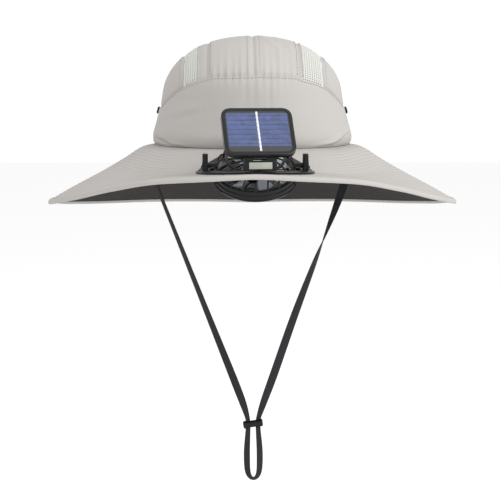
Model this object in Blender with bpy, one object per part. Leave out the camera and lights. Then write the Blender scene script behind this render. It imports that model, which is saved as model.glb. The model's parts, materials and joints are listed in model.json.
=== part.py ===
"""Wide-brimmed sun hat with a solar panel and a small fan let into the front of its brim.

Metres, +Z up. The front of the hat faces -Y. The origin is the middle of the head opening,
in the plane of the seam between the crown and the brim.
"""
import math

import bmesh
import bpy
from mathutils import Matrix, Vector

# Cloth, and the gap that parts seamed or touching pieces
CROWN_CLOTH = 0.0014
BRIM_CLOTH = 0.0012
UNDERSIDE_CLOTH = 0.0010
GAP = 0.0003

# Crown, measured outside the cloth
CROWN_HALF_WIDTH = 0.091
CROWN_HALF_LENGTH = 0.107
CROWN_HEIGHT = 0.098
CENTRE_PANEL_HALF_WIDTH = 0.040
VENT_OUTER_SEAM = 0.062
GATHER_PITCH = 0.008
GATHER_DEPTH = 0.0011
GATHER_REACH = 0.013
SIDE_FOLD_DEPTH = 0.0022
SIDE_FOLD_REACH = 0.06
CROWN_SEGMENTS = 64
ARCH_RISE_SEGMENTS = 4
PANEL_SEGMENTS = 16

# Share of the crown's height, and of its half-width or half-length there
CROWN_PROFILE = (
    (0.000, 0.985),
    (0.070, 0.998),
    (0.200, 0.965),
    (0.366, 0.918),
    (0.550, 0.880),
    (0.660, 0.829),
    (0.750, 0.758),
    (0.830, 0.659),
    (0.900, 0.540),
    (0.960, 0.360),
    (1.000, 0.000),
)

# Seam on top of the side wall: degrees from the front or the back, share of the crown's height
ARCH_SEAM = (
    (0.0, 0.628),
    (26.0, 0.620),
    (33.0, 0.594),
    (42.0, 0.564),
    (52.0, 0.518),
    (62.0, 0.452),
    (76.0, 0.370),
    (90.0, 0.345),
)

# Slack folds above the brim: degrees from the front, half-width in degrees, share of the crown's height
SIDE_FOLDS = (
    (76.0, 9.0, 0.10),
    (-80.0, 8.0, 0.05),
    (128.0, 14.0, 0.09),
)

# Brim, measured over its binding
BRIM_HALF_WIDTH = 0.186
BRIM_FRONT = 0.208
BRIM_BACK = 0.190
BRIM_DROP = 0.068
BRIM_SEGMENTS = 48
BINDING_WIDTH = 0.0034
BINDING_HEIGHT = 0.0040
FRONT_SHAPE_FULL = 20.0
FRONT_SHAPE_NONE = 70.0

# Outer edge of the brim: degrees from the front, share of the brim's drop
BRIM_EDGE = (
    (0.0, 0.232),
    (12.0, 0.262),
    (25.0, 0.306),
    (39.0, 0.422),
    (55.0, 0.579),
    (75.0, 0.712),
    (90.0, 0.764),
    (110.0, 0.862),
    (130.0, 0.925),
    (150.0, 0.955),
    (180.0, 1.000),
)

# Fall of the brim: share of the way out, share of the edge's drop at the sides, and at the front
BRIM_FALL = (
    (0.00, 0.00, 0.00),
    (0.10, 0.03, 0.17),
    (0.30, 0.25, 0.62),
    (0.45, 0.42, 0.90),
    (0.82, 0.80, 0.93),
    (1.00, 1.00, 1.00),
)

# Snaps on the sides of the crown
SNAP_RADIUS = 0.0032
SNAP_THICKNESS = 0.0018
SNAP_HEIGHT = 0.0305
SNAP_AZIMUTH = 88.0

# Fan frame, clamped through the brim
FAN_Y = -0.152
FAN_PIVOT_Z = -0.0110
COLLAR_BORE = 0.0373
COLLAR_WALL = 0.0014
FRAME_SEAT_GAP = 0.0005
FLANGE_THICKNESS = 0.0018
FLANGE_HALF_WIDTH = 0.0485
FLANGE_FRONT = 0.0450
FLANGE_BACK = 0.0410
CLAMP_WIDTH = 0.0060
CLAMP_THICKNESS = 0.0014
POST_INNER_X = 0.0386
POST_THICKNESS = 0.0044
POST_DEPTH = 0.0110
POST_TOP_Z = -0.0015
FRAME_SEGMENTS = 32

# Fan, about its pivot, with its own axis upwards before it is tilted
FAN_TILT = 30.0
HOUSING_OUTER = 0.0345
HOUSING_TOP_RADIUS = 0.0316
HOUSING_WALL = 0.0022
HOUSING_TOP = 0.0024
HOUSING_BOTTOM = -0.0132
HOUSING_CHAMFER = 0.0010
BOSS_RADIUS = 0.0022
BOSS_HOLE_DEPTH = 0.0005
BOSS_CLEARANCE = 0.0006
PIVOT_RADIUS = 0.0011
PIVOT_HEAD_RADIUS = 0.0024
PIVOT_HEAD_HEIGHT = 0.0010
GRILLE_THICKNESS = 0.0014
GRILLE_DOME = 0.0056
GRILLE_RIBS = 20
GRILLE_RIB_WIDTH = 0.0016
GRILLE_SWIRL = 24.0
BACK_GRILLE_RIBS = 9
ROTOR_RADIUS = 0.0290
ROTOR_HUB_RADIUS = 0.0085
ROTOR_TOP = -0.0020
ROTOR_BOTTOM = -0.0085
ROTOR_BLADES = 7
ROTOR_PITCH = 32.0
BLADE_THICKNESS = 0.0009
BLADE_ROOT_CHORD = 0.0055
BLADE_TIP_CHORD = 0.0130
MOTOR_RADIUS = 0.0075
SHAFT_RADIUS = 0.0009
RUNNING_GAP = 0.0003

# Solar panel and the stand that carries it on the front of the frame
STAND_X = 0.0030
STAND_Y = -0.1940
STAND_YAW = 9.0
YOKE_WIDTH = 0.0260
YOKE_DEPTH = 0.0052
YOKE_HEIGHT = 0.0080
HINGE_RISE = 0.0102
HINGE_BARREL_RADIUS = 0.0019
HINGE_PIN_RADIUS = 0.0010
KNUCKLE_HALF_WIDTH = 0.0056
PEG_RADIUS = 0.0016
PEG_HEIGHT = 0.0034
PLATE_WIDTH = 0.0190
PLATE_HEIGHT = 0.0059
PLATE_THICKNESS = 0.0006
PANEL_WIDTH = 0.0570
PANEL_LENGTH = 0.0445
PANEL_THICKNESS = 0.0045
PANEL_CORNER = 0.0075
PANEL_BELOW_HINGE = 0.0015
PANEL_OFF_HINGE = 0.0024
PANEL_LEAN = 37.0
CELL_MARGIN = 0.0030
CELL_DEPTH = 0.0012
CELL_CORNER = 0.0045

# Chin strap: a flat woven tape, from one side of the head opening to the other
STRAP_WIDTH = 0.0080
STRAP_THICKNESS = 0.0010
STRAP_STEPS = 2
TOGGLE_LENGTH = 0.0185
TOGGLE_RADIUS = 0.0036
TOGGLE_Z = -0.2610
TOGGLE_X = 0.0007
TOGGLE_Y = -0.0082
TOGGLE_ROLL = 8.0
TOGGLE_SLOT_OFFSET = 0.0048
TOGGLE_SLOT_WIDTH = 0.0064
TOGGLE_SLOT_DEPTH = 0.0026

# Route of the tape: x, y, z in metres, turn of the tape in degrees, share of its full width
STRAP_ROUTE = (
    (-0.0992, -0.0039, -0.0056, 60.0, 1.00),
    (-0.0904, -0.0050, -0.0300, 60.0, 1.00),
    (-0.0815, -0.0060, -0.0540, 60.0, 1.00),
    (-0.0616, -0.0070, -0.1050, 52.0, 1.00),
    (-0.0405, -0.0076, -0.1590, 40.0, 1.00),
    (-0.0194, -0.0080, -0.2130, 22.0, 1.00),
    (-0.0092, -0.0082, -0.2400, 0.0, 0.84),
    (-0.0046, -0.0082, -0.2550, -12.0, 0.56),
    (-0.0041, -0.0082, -0.2610, -12.0, 0.56),
    (-0.0040, -0.0082, -0.2670, -12.0, 0.58),
    (-0.0050, -0.0078, -0.2890, 5.0, 0.74),
    (-0.0040, -0.0074, -0.3080, 28.0, 0.78),
    (0.0012, -0.0072, -0.3140, 40.0, 0.75),
    (0.0062, -0.0074, -0.3080, 28.0, 0.78),
    (0.0070, -0.0078, -0.2890, 5.0, 0.74),
    (0.0056, -0.0082, -0.2670, -12.0, 0.58),
    (0.0055, -0.0082, -0.2610, -12.0, 0.56),
    (0.0060, -0.0082, -0.2550, -12.0, 0.56),
    (0.0112, -0.0082, -0.2390, 0.0, 0.84),
    (0.0205, -0.0080, -0.2130, 10.0, 1.00),
    (0.0390, -0.0076, -0.1590, 20.0, 1.00),
    (0.0580, -0.0070, -0.1080, 50.0, 1.00),
    (0.0672, -0.0066, -0.0840, 88.0, 1.00),
    (0.0785, -0.0060, -0.0540, 130.0, 1.00),
    (0.0861, -0.0050, -0.0320, 150.0, 1.00),
    (0.0941, -0.0039, -0.0043, 165.0, 1.00),
)


def clear_scene():
    for item in list(bpy.data.objects):
        bpy.data.objects.remove(item, do_unlink=True)


# Materials

def material(name, colour, roughness, metallic=0.0):
    made = bpy.data.materials.new(name)
    made.use_nodes = True
    shader = made.node_tree.nodes["Principled BSDF"]
    shader.inputs["Base Color"].default_value = (*colour, 1.0)
    shader.inputs["Roughness"].default_value = roughness
    shader.inputs["Metallic"].default_value = metallic
    return made


def light_cloth(name):
    return material(name, (0.56, 0.53, 0.50), 0.85)


def mesh_cloth(name):
    return material(name, (0.64, 0.65, 0.60), 0.90)


def dark_cloth(name):
    return material(name, (0.050, 0.047, 0.046), 0.90)


def black_plastic(name):
    return material(name, (0.012, 0.012, 0.013), 0.35)


# Mesh helpers

def new_object(name, bm, finish, smooth_angle=30.0):
    bmesh.ops.recalc_face_normals(bm, faces=bm.faces)
    mesh = bpy.data.meshes.new(name)
    bm.to_mesh(mesh)
    bm.free()
    mesh.shade_smooth()
    mesh.set_sharp_from_angle(angle=math.radians(smooth_angle))
    made = bpy.data.objects.new(name, mesh)
    made.data.materials.append(finish)
    bpy.context.scene.collection.objects.link(made)
    return made


def empty(name, location, rotation, parent=None):
    made = bpy.data.objects.new(name, None)
    bpy.context.scene.collection.objects.link(made)
    made.parent = parent
    made.location = location
    made.rotation_euler = rotation
    return made


def cut(target, cutter, operation="DIFFERENCE"):
    """Join or cut with a guide body, and leave the guide out of the model."""
    cutter.hide_render = True
    cutter.display_type = "WIRE"
    cutter.parent = target.parent
    boolean = target.modifiers.new(cutter.name, "BOOLEAN")
    boolean.operation = operation
    boolean.solver = "EXACT"
    boolean.object = cutter


def cylinder(name, radius, low, high, axis, centre, finish, sides=24):
    """A round bar along X, Y or Z, from low to high on that axis."""
    bm = bmesh.new()
    bmesh.ops.create_cone(bm, cap_ends=True, segments=sides, radius1=radius, radius2=radius,
                          depth=high - low)
    turns = {"X": Matrix.Rotation(math.pi / 2, 4, "Y"), "Y": Matrix.Rotation(math.pi / 2, 4, "X"),
             "Z": Matrix.Identity(4)}
    bmesh.ops.transform(bm, matrix=turns[axis], verts=bm.verts)
    middle = Vector(centre)
    middle["XYZ".index(axis)] = (low + high) / 2
    bmesh.ops.translate(bm, vec=middle, verts=bm.verts)
    return new_object(name, bm, finish)


def block(name, low, high, finish, bevel=0.0):
    bm = bmesh.new()
    bmesh.ops.create_cube(bm, size=1.0)
    size = Vector(high) - Vector(low)
    bmesh.ops.scale(bm, vec=size, verts=bm.verts)
    bmesh.ops.translate(bm, vec=Vector(low) + size / 2, verts=bm.verts)
    if bevel > 0:
        bmesh.ops.bevel(bm, geom=bm.edges[:], offset=bevel, segments=2, profile=0.5,
                        affect="EDGES")
    return new_object(name, bm, finish)


def wall_solid(name, rows, closed, finish):
    """A cloth wall from rows of (outer, inner) points, closed in a ring or with two ends."""
    bm = bmesh.new()
    outer = [[bm.verts.new(pair[0]) for pair in row] for row in rows]
    inner = [[bm.verts.new(pair[1]) for pair in row] for row in rows]
    last = len(rows[0]) - 1
    columns = last + 1 if closed else last
    for i in range(len(rows) - 1):
        for j in range(columns):
            k = (j + 1) % (last + 1)
            bm.faces.new((outer[i][j], outer[i][k], outer[i + 1][k], outer[i + 1][j]))
            bm.faces.new((inner[i][j], inner[i + 1][j], inner[i + 1][k], inner[i][k]))
    for i in (0, len(rows) - 1):
        for j in range(columns):
            k = (j + 1) % (last + 1)
            bm.faces.new((outer[i][j], inner[i][j], inner[i][k], outer[i][k]))
    if not closed:
        for j in (0, last):
            for i in range(len(rows) - 1):
                bm.faces.new((outer[i][j], outer[i + 1][j], inner[i + 1][j], inner[i][j]))
    bmesh.ops.remove_doubles(bm, verts=bm.verts, dist=0.00002)
    bmesh.ops.triangulate(bm, faces=bm.faces)
    return new_object(name, bm, finish, smooth_angle=40.0)


def ring_solid(name, sections, finish):
    """A ring swept through closed sections, one list of points for each place round it."""
    bm = bmesh.new()
    loops = [[bm.verts.new(point) for point in section] for section in sections]
    for i, loop in enumerate(loops):
        following = loops[(i + 1) % len(loops)]
        for j in range(len(loop)):
            k = (j + 1) % len(loop)
            bm.faces.new((loop[j], loop[k], following[k], following[j]))
    bmesh.ops.triangulate(bm, faces=bm.faces)
    return new_object(name, bm, finish, smooth_angle=40.0)


# Tables

def straight_value(table, place, column=1):
    """The table's column at a place between its rows, along straight lines."""
    for low, high in zip(table, table[1:]):
        if place <= high[0]:
            share = (place - low[0]) / (high[0] - low[0])
            return low[column] + (high[column] - low[column]) * max(share, 0.0)
    return table[-1][column]


def curved_value(rows, place):
    """The value at a place on a smooth curve through (place, value) rows."""
    slopes = [(b[1] - a[1]) / (b[0] - a[0]) for a, b in zip(rows, rows[1:])]
    ends = [slopes[0]]
    for before, after in zip(slopes, slopes[1:]):
        same_way = before * after > 0
        ends.append(2 * before * after / (before + after) if same_way else 0.0)
    ends.append(slopes[-1])
    place = min(max(place, rows[0][0]), rows[-1][0])
    for i, (low, high) in enumerate(zip(rows, rows[1:])):
        if place <= high[0]:
            span = high[0] - low[0]
            s = (place - low[0]) / span
            rise = (1 + 2 * s) * (1 - s) ** 2 * low[1] + s * s * (3 - 2 * s) * high[1]
            lean = s * (1 - s) ** 2 * ends[i] - s * s * (1 - s) * ends[i + 1]
            return rise + lean * span
    return rows[-1][1]


def smooth_step(low, high, value):
    share = min(max((value - low) / (high - low), 0.0), 1.0)
    return share * share * (3 - 2 * share)


# Crown surface

CROWN_SQUARES = tuple((height, share * share) for height, share in CROWN_PROFILE)


def crown_square(z):
    """Square of the crown's share of its base size at height z."""
    return curved_value(CROWN_SQUARES, z / CROWN_HEIGHT)


def crown_point(azimuth, z):
    share = math.sqrt(max(crown_square(z), 0.0))
    angle = math.radians(azimuth)
    return Vector((CROWN_HALF_WIDTH * share * math.sin(angle),
                   -CROWN_HALF_LENGTH * share * math.cos(angle), z))


def crown_normal(point):
    step = CROWN_HEIGHT / 500
    low = min(point.z, CROWN_HEIGHT - step)
    change = (crown_square(low + step) - crown_square(low - step)) / (2 * step)
    return Vector((2 * point.x / CROWN_HALF_WIDTH ** 2, 2 * point.y / CROWN_HALF_LENGTH ** 2,
                   -change)).normalized()


def azimuth_of(point):
    """Degrees from the front, growing towards +X."""
    return math.degrees(math.atan2(point.x / CROWN_HALF_WIDTH, -point.y / CROWN_HALF_LENGTH))


def seam_height(azimuth):
    turn = abs((azimuth + 180.0) % 360.0 - 180.0)
    turn = 180.0 - turn if turn > 90.0 else turn
    return curved_value(ARCH_SEAM, turn) * CROWN_HEIGHT


def crown_relief(point):
    """How far the cloth stands out: gathers at the seam, and slack folds above the brim."""
    above = point.z - seam_height(azimuth_of(point))
    middle = 1.0 - smooth_step(0.7, 1.0, abs(point.x) / CENTRE_PANEL_HALF_WIDTH)
    fade = math.exp(-abs(above) / GATHER_REACH) * (1.0 if above > 0 else 0.6)
    gathers = GATHER_DEPTH * middle * fade * math.cos(2 * math.pi * point.x / GATHER_PITCH)
    side = azimuth_of(point)
    fold = 0.0
    for place, width, height in SIDE_FOLDS:
        away = ((side - place) / width) ** 2 + ((point.z / CROWN_HEIGHT - height) / SIDE_FOLD_REACH) ** 2
        fold -= SIDE_FOLD_DEPTH * math.exp(-away)
    return gathers + fold


def crown_wall_pair(point):
    """Outer and inner side of the cloth at a point of the crown's plain surface."""
    normal = crown_normal(point)
    outer = point + normal * crown_relief(point)
    return outer, outer - normal * CROWN_CLOTH


def crown_section(x, share):
    """A point of the crown in the plane of x, from the front seam (0) over the top to the back (1)."""
    def at(angle):
        low, high = 0.0, 2 * CROWN_HALF_LENGTH
        base = 0.3 * CROWN_HEIGHT
        for _ in range(48):
            reach = (low + high) / 2
            y, z = -reach * math.cos(angle), base + reach * math.sin(angle)
            inside = z < CROWN_HEIGHT and ((x / CROWN_HALF_WIDTH) ** 2
                                           + (y / CROWN_HALF_LENGTH) ** 2) < crown_square(z)
            low, high = (reach, high) if inside else (low, reach)
        return Vector((x, -low * math.cos(angle), base + low * math.sin(angle)))

    low, high = 0.0, math.pi / 2
    for _ in range(40):
        middle = (low + high) / 2
        point = at(middle)
        below = point.z < seam_height(azimuth_of(point)) + GAP / 2
        low, high = (middle, high) if below else (low, middle)
    return at(high + (math.pi - 2 * high) * share)


def make_crown_band():
    """The side wall, from the brim to the arched seam."""
    rows = []
    for i in range(ARCH_RISE_SEGMENTS + 1):
        row = []
        for j in range(CROWN_SEGMENTS):
            azimuth = 360.0 * j / CROWN_SEGMENTS
            top = seam_height(azimuth) - GAP / 2
            row.append(crown_wall_pair(crown_point(azimuth, GAP + (top - GAP) * i / ARCH_RISE_SEGMENTS)))
        rows.append(row)
    return wall_solid("crown_band", rows, True, light_cloth("crown_band_cloth"))


def make_crown_strip(name, x_low, x_high, columns, finish):
    """A panel that runs from the front seam over the top to the back, between two planes of x."""
    rows = []
    for i in range(columns + 1):
        x = x_low + (x_high - x_low) * i / columns
        rows.append([crown_wall_pair(crown_section(x, j / PANEL_SEGMENTS))
                     for j in range(PANEL_SEGMENTS + 1)])
    return wall_solid(name, rows, False, finish)


def make_crown_side(name, side):
    """The side panel between the vent's outer seam and the arched seam."""
    plane = VENT_OUTER_SEAM + GAP / 2
    front = azimuth_of(crown_section(plane, 0.0))
    rise = 4
    rows = [[] for _ in range(rise + 1)]
    for j in range(PANEL_SEGMENTS - 3):
        share = j / (PANEL_SEGMENTS - 4)
        azimuth = front + (180.0 - 2 * front) * share
        low = crown_point(azimuth, seam_height(azimuth) + GAP / 2)
        top = crown_section(plane, share)
        for i in range(rise + 1):
            way = low.lerp(top, i / rise)
            point = crown_onto(way)
            point.x *= side
            rows[i].append(crown_wall_pair(point))
    return wall_solid(name, rows, False, light_cloth(name + "_cloth"))


def crown_onto(point):
    """The plain crown surface, seen from low in its middle through a nearby point."""
    base = Vector((0.0, 0.0, 0.3 * CROWN_HEIGHT))
    way = point - base
    low, high = 0.0, 2.0
    for _ in range(48):
        reach = (low + high) / 2
        x, y, z = base + way * reach
        inside = z < CROWN_HEIGHT and ((x / CROWN_HALF_WIDTH) ** 2
                                       + (y / CROWN_HALF_LENGTH) ** 2) < crown_square(z)
        low, high = (reach, high) if inside else (low, reach)
    return base + way * low


def make_crown():
    make_crown_band()
    for side, word in ((-1, "left"), (1, "right")):
        centre = CENTRE_PANEL_HALF_WIDTH - GAP / 2
        columns = round(2 * CENTRE_PANEL_HALF_WIDTH / GATHER_PITCH)
        make_crown_strip("crown_centre_" + word, side * GAP / 2, side * centre, columns,
                         light_cloth("crown_centre_%s_cloth" % word))
        make_crown_strip("vent_" + word, side * (centre + GAP), side * (VENT_OUTER_SEAM - GAP / 2),
                         3, mesh_cloth("vent_%s_cloth" % word))
        make_crown_side("crown_side_" + word, side)
        make_snap("snap_" + word, side)


def make_snap(name, side):
    """A round snap cap on the side wall."""
    point = crown_point(side * SNAP_AZIMUTH, SNAP_HEIGHT)
    normal = crown_normal(point)
    seat = point + normal * (crown_relief(point) + GAP)
    snap = cylinder(name, SNAP_RADIUS, 0.0, SNAP_THICKNESS, "Z", (0, 0, 0),
                    black_plastic(name + "_plastic"), sides=16)
    snap.location = seat
    snap.rotation_euler = normal.to_track_quat("Z", "Y").to_euler()
    return snap


# Brim surface

def brim_edge_drop(azimuth):
    turn = abs((azimuth + 180.0) % 360.0 - 180.0)
    return curved_value(BRIM_EDGE, turn) * BRIM_DROP


def brim_fall(azimuth, share):
    turn = abs((azimuth + 180.0) % 360.0 - 180.0)
    front = 1.0 - smooth_step(FRONT_SHAPE_FULL, FRONT_SHAPE_NONE, turn)
    side_fall = straight_value(BRIM_FALL, share, 1)
    front_fall = straight_value(BRIM_FALL, share, 2)
    return side_fall + (front_fall - side_fall) * front


def brim_axes(share, ahead):
    """Half-width and half-length of the brim at a share of the way out."""
    base_share = CROWN_PROFILE[0][1]
    inner_width = CROWN_HALF_WIDTH * base_share - CROWN_CLOTH
    inner_length = CROWN_HALF_LENGTH * base_share - CROWN_CLOTH
    outer_length = BRIM_FRONT if ahead else BRIM_BACK
    return (inner_width + (BRIM_HALF_WIDTH - inner_width) * share,
            inner_length + (outer_length - inner_length) * share)


def brim_point(azimuth, share):
    angle = math.radians(azimuth)
    width, length = brim_axes(share, math.cos(angle) > 0)
    return Vector((width * math.sin(angle), -length * math.cos(angle),
                   -brim_edge_drop(azimuth) * brim_fall(azimuth, share)))


def brim_height(x, y):
    """Height of the brim's top at a place in plan."""
    low, high = 0.0, 1.0
    for _ in range(40):
        share = (low + high) / 2
        width, length = brim_axes(share, y < 0)
        outside = (x / width) ** 2 + (y / length) ** 2 > 1
        low, high = (share, high) if outside else (low, share)
    width, length = brim_axes(low, y < 0)
    azimuth = math.degrees(math.atan2(x / width, -y / length))
    return -brim_edge_drop(azimuth) * brim_fall(azimuth, low)


def make_brim_layer(name, top_depth, thickness, finish):
    """One cloth of the brim, from the head opening to the binding, with the fan's hole in it."""
    edge_share = 1.0 - (BINDING_WIDTH + GAP) / (BRIM_HALF_WIDTH - CROWN_HALF_WIDTH)
    shares = [row[0] for row in BRIM_FALL[:-1]] + [edge_share]
    rows = []
    for share in shares:
        row = []
        for j in range(BRIM_SEGMENTS):
            point = brim_point(360.0 * j / BRIM_SEGMENTS, share)
            upper = point - Vector((0, 0, top_depth))
            row.append((upper, upper - Vector((0, 0, thickness))))
        rows.append(row)
    layer = wall_solid(name, rows, True, finish)
    hole = COLLAR_BORE + COLLAR_WALL + GAP
    cut(layer, cylinder(name + "_hole", hole, FAN_PIVOT_Z - 0.05, FAN_PIVOT_Z + 0.05, "Z",
                        (0, FAN_Y, 0), finish, sides=FRAME_SEGMENTS))
    return layer


def make_binding():
    """The rolled edge, folded over both cloths."""
    inner_share = 1.0 - BINDING_WIDTH / (BRIM_HALF_WIDTH - CROWN_HALF_WIDTH)
    sections = []
    for j in range(BRIM_SEGMENTS):
        azimuth = 360.0 * j / BRIM_SEGMENTS
        outer, inner = brim_point(azimuth, 1.0), brim_point(azimuth, inner_share)
        up = Vector((0, 0, 1))
        middle = -up * (BRIM_CLOTH + UNDERSIDE_CLOTH) / 2
        half = up * BINDING_HEIGHT / 2
        far = outer.lerp(inner, 0.28)
        sections.append((outer + middle + half * 0.45, far + middle + half, inner + middle + half * 0.9,
                         inner + middle - half * 0.9, far + middle - half, outer + middle - half * 0.45))
    return ring_solid("brim_binding", sections, light_cloth("brim_binding_cloth"))


def make_brim():
    make_brim_layer("brim_top", 0.0, BRIM_CLOTH, light_cloth("brim_top_cloth"))
    make_brim_layer("brim_underside", BRIM_CLOTH + GAP, UNDERSIDE_CLOTH,
                    dark_cloth("brim_underside_cloth"))
    make_binding()


# Fan frame

def flange_radius(angle):
    """Outline of the flange from the fan's middle, at an angle from +X."""
    length = FLANGE_FRONT if math.sin(angle) < 0 else FLANGE_BACK
    c, s = abs(math.cos(angle)) / FLANGE_HALF_WIDTH, abs(math.sin(angle)) / length
    return 1.0 / math.sqrt(c * c + s * s)


def around_fan(angle, radius):
    return radius * math.cos(angle), FAN_Y + radius * math.sin(angle)


def brim_under(x, y, depth):
    return Vector((x, y, brim_height(x, y) - depth))


def make_fan_frame():
    """Flange on the brim, collar through it, two posts and a flat landing with the stand's peg."""
    plastic = black_plastic("fan_frame_plastic")
    collar = COLLAR_BORE + COLLAR_WALL
    below = BRIM_CLOTH + UNDERSIDE_CLOTH + 2 * GAP + CLAMP_THICKNESS
    sections = []
    for i in range(FRAME_SEGMENTS):
        angle = 2 * math.pi * i / FRAME_SEGMENTS
        bore, wall = around_fan(angle, COLLAR_BORE), around_fan(angle, collar)
        rim = around_fan(angle, flange_radius(angle))
        top = -FRAME_SEAT_GAP - FLANGE_THICKNESS
        sections.append((brim_under(*bore, top), brim_under(*rim, top * 0.75),
                         brim_under(*rim, -FRAME_SEAT_GAP), brim_under(*wall, -FRAME_SEAT_GAP),
                         brim_under(*wall, below), brim_under(*bore, below)))
    frame = ring_solid("fan_frame", sections, plastic)
    for side, word in ((-1, "left"), (1, "right")):
        foot = flange_top(side * (POST_INNER_X + POST_THICKNESS / 2), FAN_Y) - FLANGE_THICKNESS / 2
        inner, outer = side * POST_INNER_X, side * (POST_INNER_X + POST_THICKNESS)
        post = block("fan_post_" + word, (min(inner, outer), FAN_Y - POST_DEPTH / 2, foot),
                     (max(inner, outer), FAN_Y + POST_DEPTH / 2, POST_TOP_Z), plastic, bevel=0.0006)
        cut(frame, post, "UNION")
        hole = cylinder("fan_post_hole_" + word, PIVOT_RADIUS + GAP, min(inner, outer) - 0.001,
                        max(inner, outer) + 0.001, "X", (0, FAN_Y, FAN_PIVOT_Z), plastic, sides=16)
        cut(frame, hole)
    reach = POST_INNER_X - GAP / 2
    cut(frame, cylinder("fan_boss_room", BOSS_RADIUS + BOSS_CLEARANCE, -reach, reach, "X",
                        (0, FAN_Y, FAN_PIVOT_Z), plastic, sides=16))
    seat = flange_top(STAND_X, STAND_Y)
    sweep = math.hypot(YOKE_WIDTH, YOKE_DEPTH) / 2 + RUNNING_GAP
    cut(frame, cylinder("stand_room", sweep, seat, seat + YOKE_HEIGHT, "Z", (STAND_X, STAND_Y, 0), plastic))
    cut(frame, cylinder("stand_peg", PEG_RADIUS, seat - FLANGE_THICKNESS / 2, seat + PEG_HEIGHT, "Z",
                        (STAND_X, STAND_Y, 0), plastic, sides=16), "UNION")
    return frame


def flange_top(x, y):
    return brim_height(x, y) + FRAME_SEAT_GAP + FLANGE_THICKNESS


def make_clamp_ring():
    """The ring under the brim that holds the frame in its hole."""
    inner = COLLAR_BORE + COLLAR_WALL + GAP
    above = BRIM_CLOTH + UNDERSIDE_CLOTH + GAP + FRAME_SEAT_GAP
    sections = []
    for i in range(FRAME_SEGMENTS):
        angle = 2 * math.pi * i / FRAME_SEGMENTS
        near, far = around_fan(angle, inner), around_fan(angle, inner + CLAMP_WIDTH)
        sections.append((brim_under(*near, above), brim_under(*near, above + CLAMP_THICKNESS),
                         brim_under(*far, above + CLAMP_THICKNESS * 0.7), brim_under(*far, above)))
    return ring_solid("frame_clamp_ring", sections, black_plastic("frame_clamp_ring_plastic"))


def make_pivot_screws():
    for side, word in ((-1, "left"), (1, "right")):
        tip = side * (housing_radius(0.0) + BOSS_HOLE_DEPTH + GAP)
        face = side * (POST_INNER_X + POST_THICKNESS + GAP)
        head = face + side * PIVOT_HEAD_HEIGHT
        metal = material("pivot_screw_%s_metal" % word, (0.35, 0.35, 0.36), 0.30, 1.0)
        name = "pivot_screw_" + word
        screw = cylinder(name, PIVOT_RADIUS, min(tip, head), max(tip, head), "X",
                         (0, FAN_Y, FAN_PIVOT_Z), metal, sides=16)
        cap = cylinder(name + "_head", PIVOT_HEAD_RADIUS, min(face, head), max(face, head), "X",
                       (0, FAN_Y, FAN_PIVOT_Z), metal, sides=16)
        cut(screw, cap, "UNION")


# Fan, built about its pivot and hung on the tilted empty

def housing_radius(height):
    """Outside of the housing, which widens downwards."""
    share = (height - HOUSING_BOTTOM) / (HOUSING_TOP - HOUSING_BOTTOM)
    return HOUSING_OUTER + (HOUSING_TOP_RADIUS - HOUSING_OUTER) * share


def make_housing(parent):
    plastic = black_plastic("fan_housing_plastic")
    wide, narrow = HOUSING_OUTER, HOUSING_TOP_RADIUS
    low = HOUSING_BOTTOM + HOUSING_CHAMFER
    sections = []
    for i in range(FRAME_SEGMENTS):
        angle = 2 * math.pi * i / FRAME_SEGMENTS
        way = Vector((math.cos(angle), math.sin(angle), 0))
        rows = ((narrow - HOUSING_WALL, HOUSING_TOP), (narrow, HOUSING_TOP), (housing_radius(low), low),
                (wide - HOUSING_CHAMFER, HOUSING_BOTTOM), (wide - HOUSING_WALL, HOUSING_BOTTOM))
        sections.append([way * radius + Vector((0, 0, height)) for radius, height in rows])
    housing = ring_solid("fan_housing", sections, plastic)
    housing.parent = parent
    for side, word in ((-1, "left"), (1, "right")):
        near = side * (housing_radius(0.0) - HOUSING_WALL / 2)
        far = side * (POST_INNER_X - RUNNING_GAP)
        boss = cylinder("fan_boss_" + word, BOSS_RADIUS, min(near, far), max(near, far), "X",
                        (0, 0, 0), plastic, sides=16)
        cut(housing, boss, "UNION")
        bottom = side * (housing_radius(0.0) + BOSS_HOLE_DEPTH)
        past = far + side * GAP
        hole = cylinder("fan_boss_hole_" + word, PIVOT_RADIUS + RUNNING_GAP, min(bottom, past),
                        max(bottom, past), "X", (0, 0, 0), plastic, sides=16)
        cut(housing, hole)
    return housing


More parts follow.
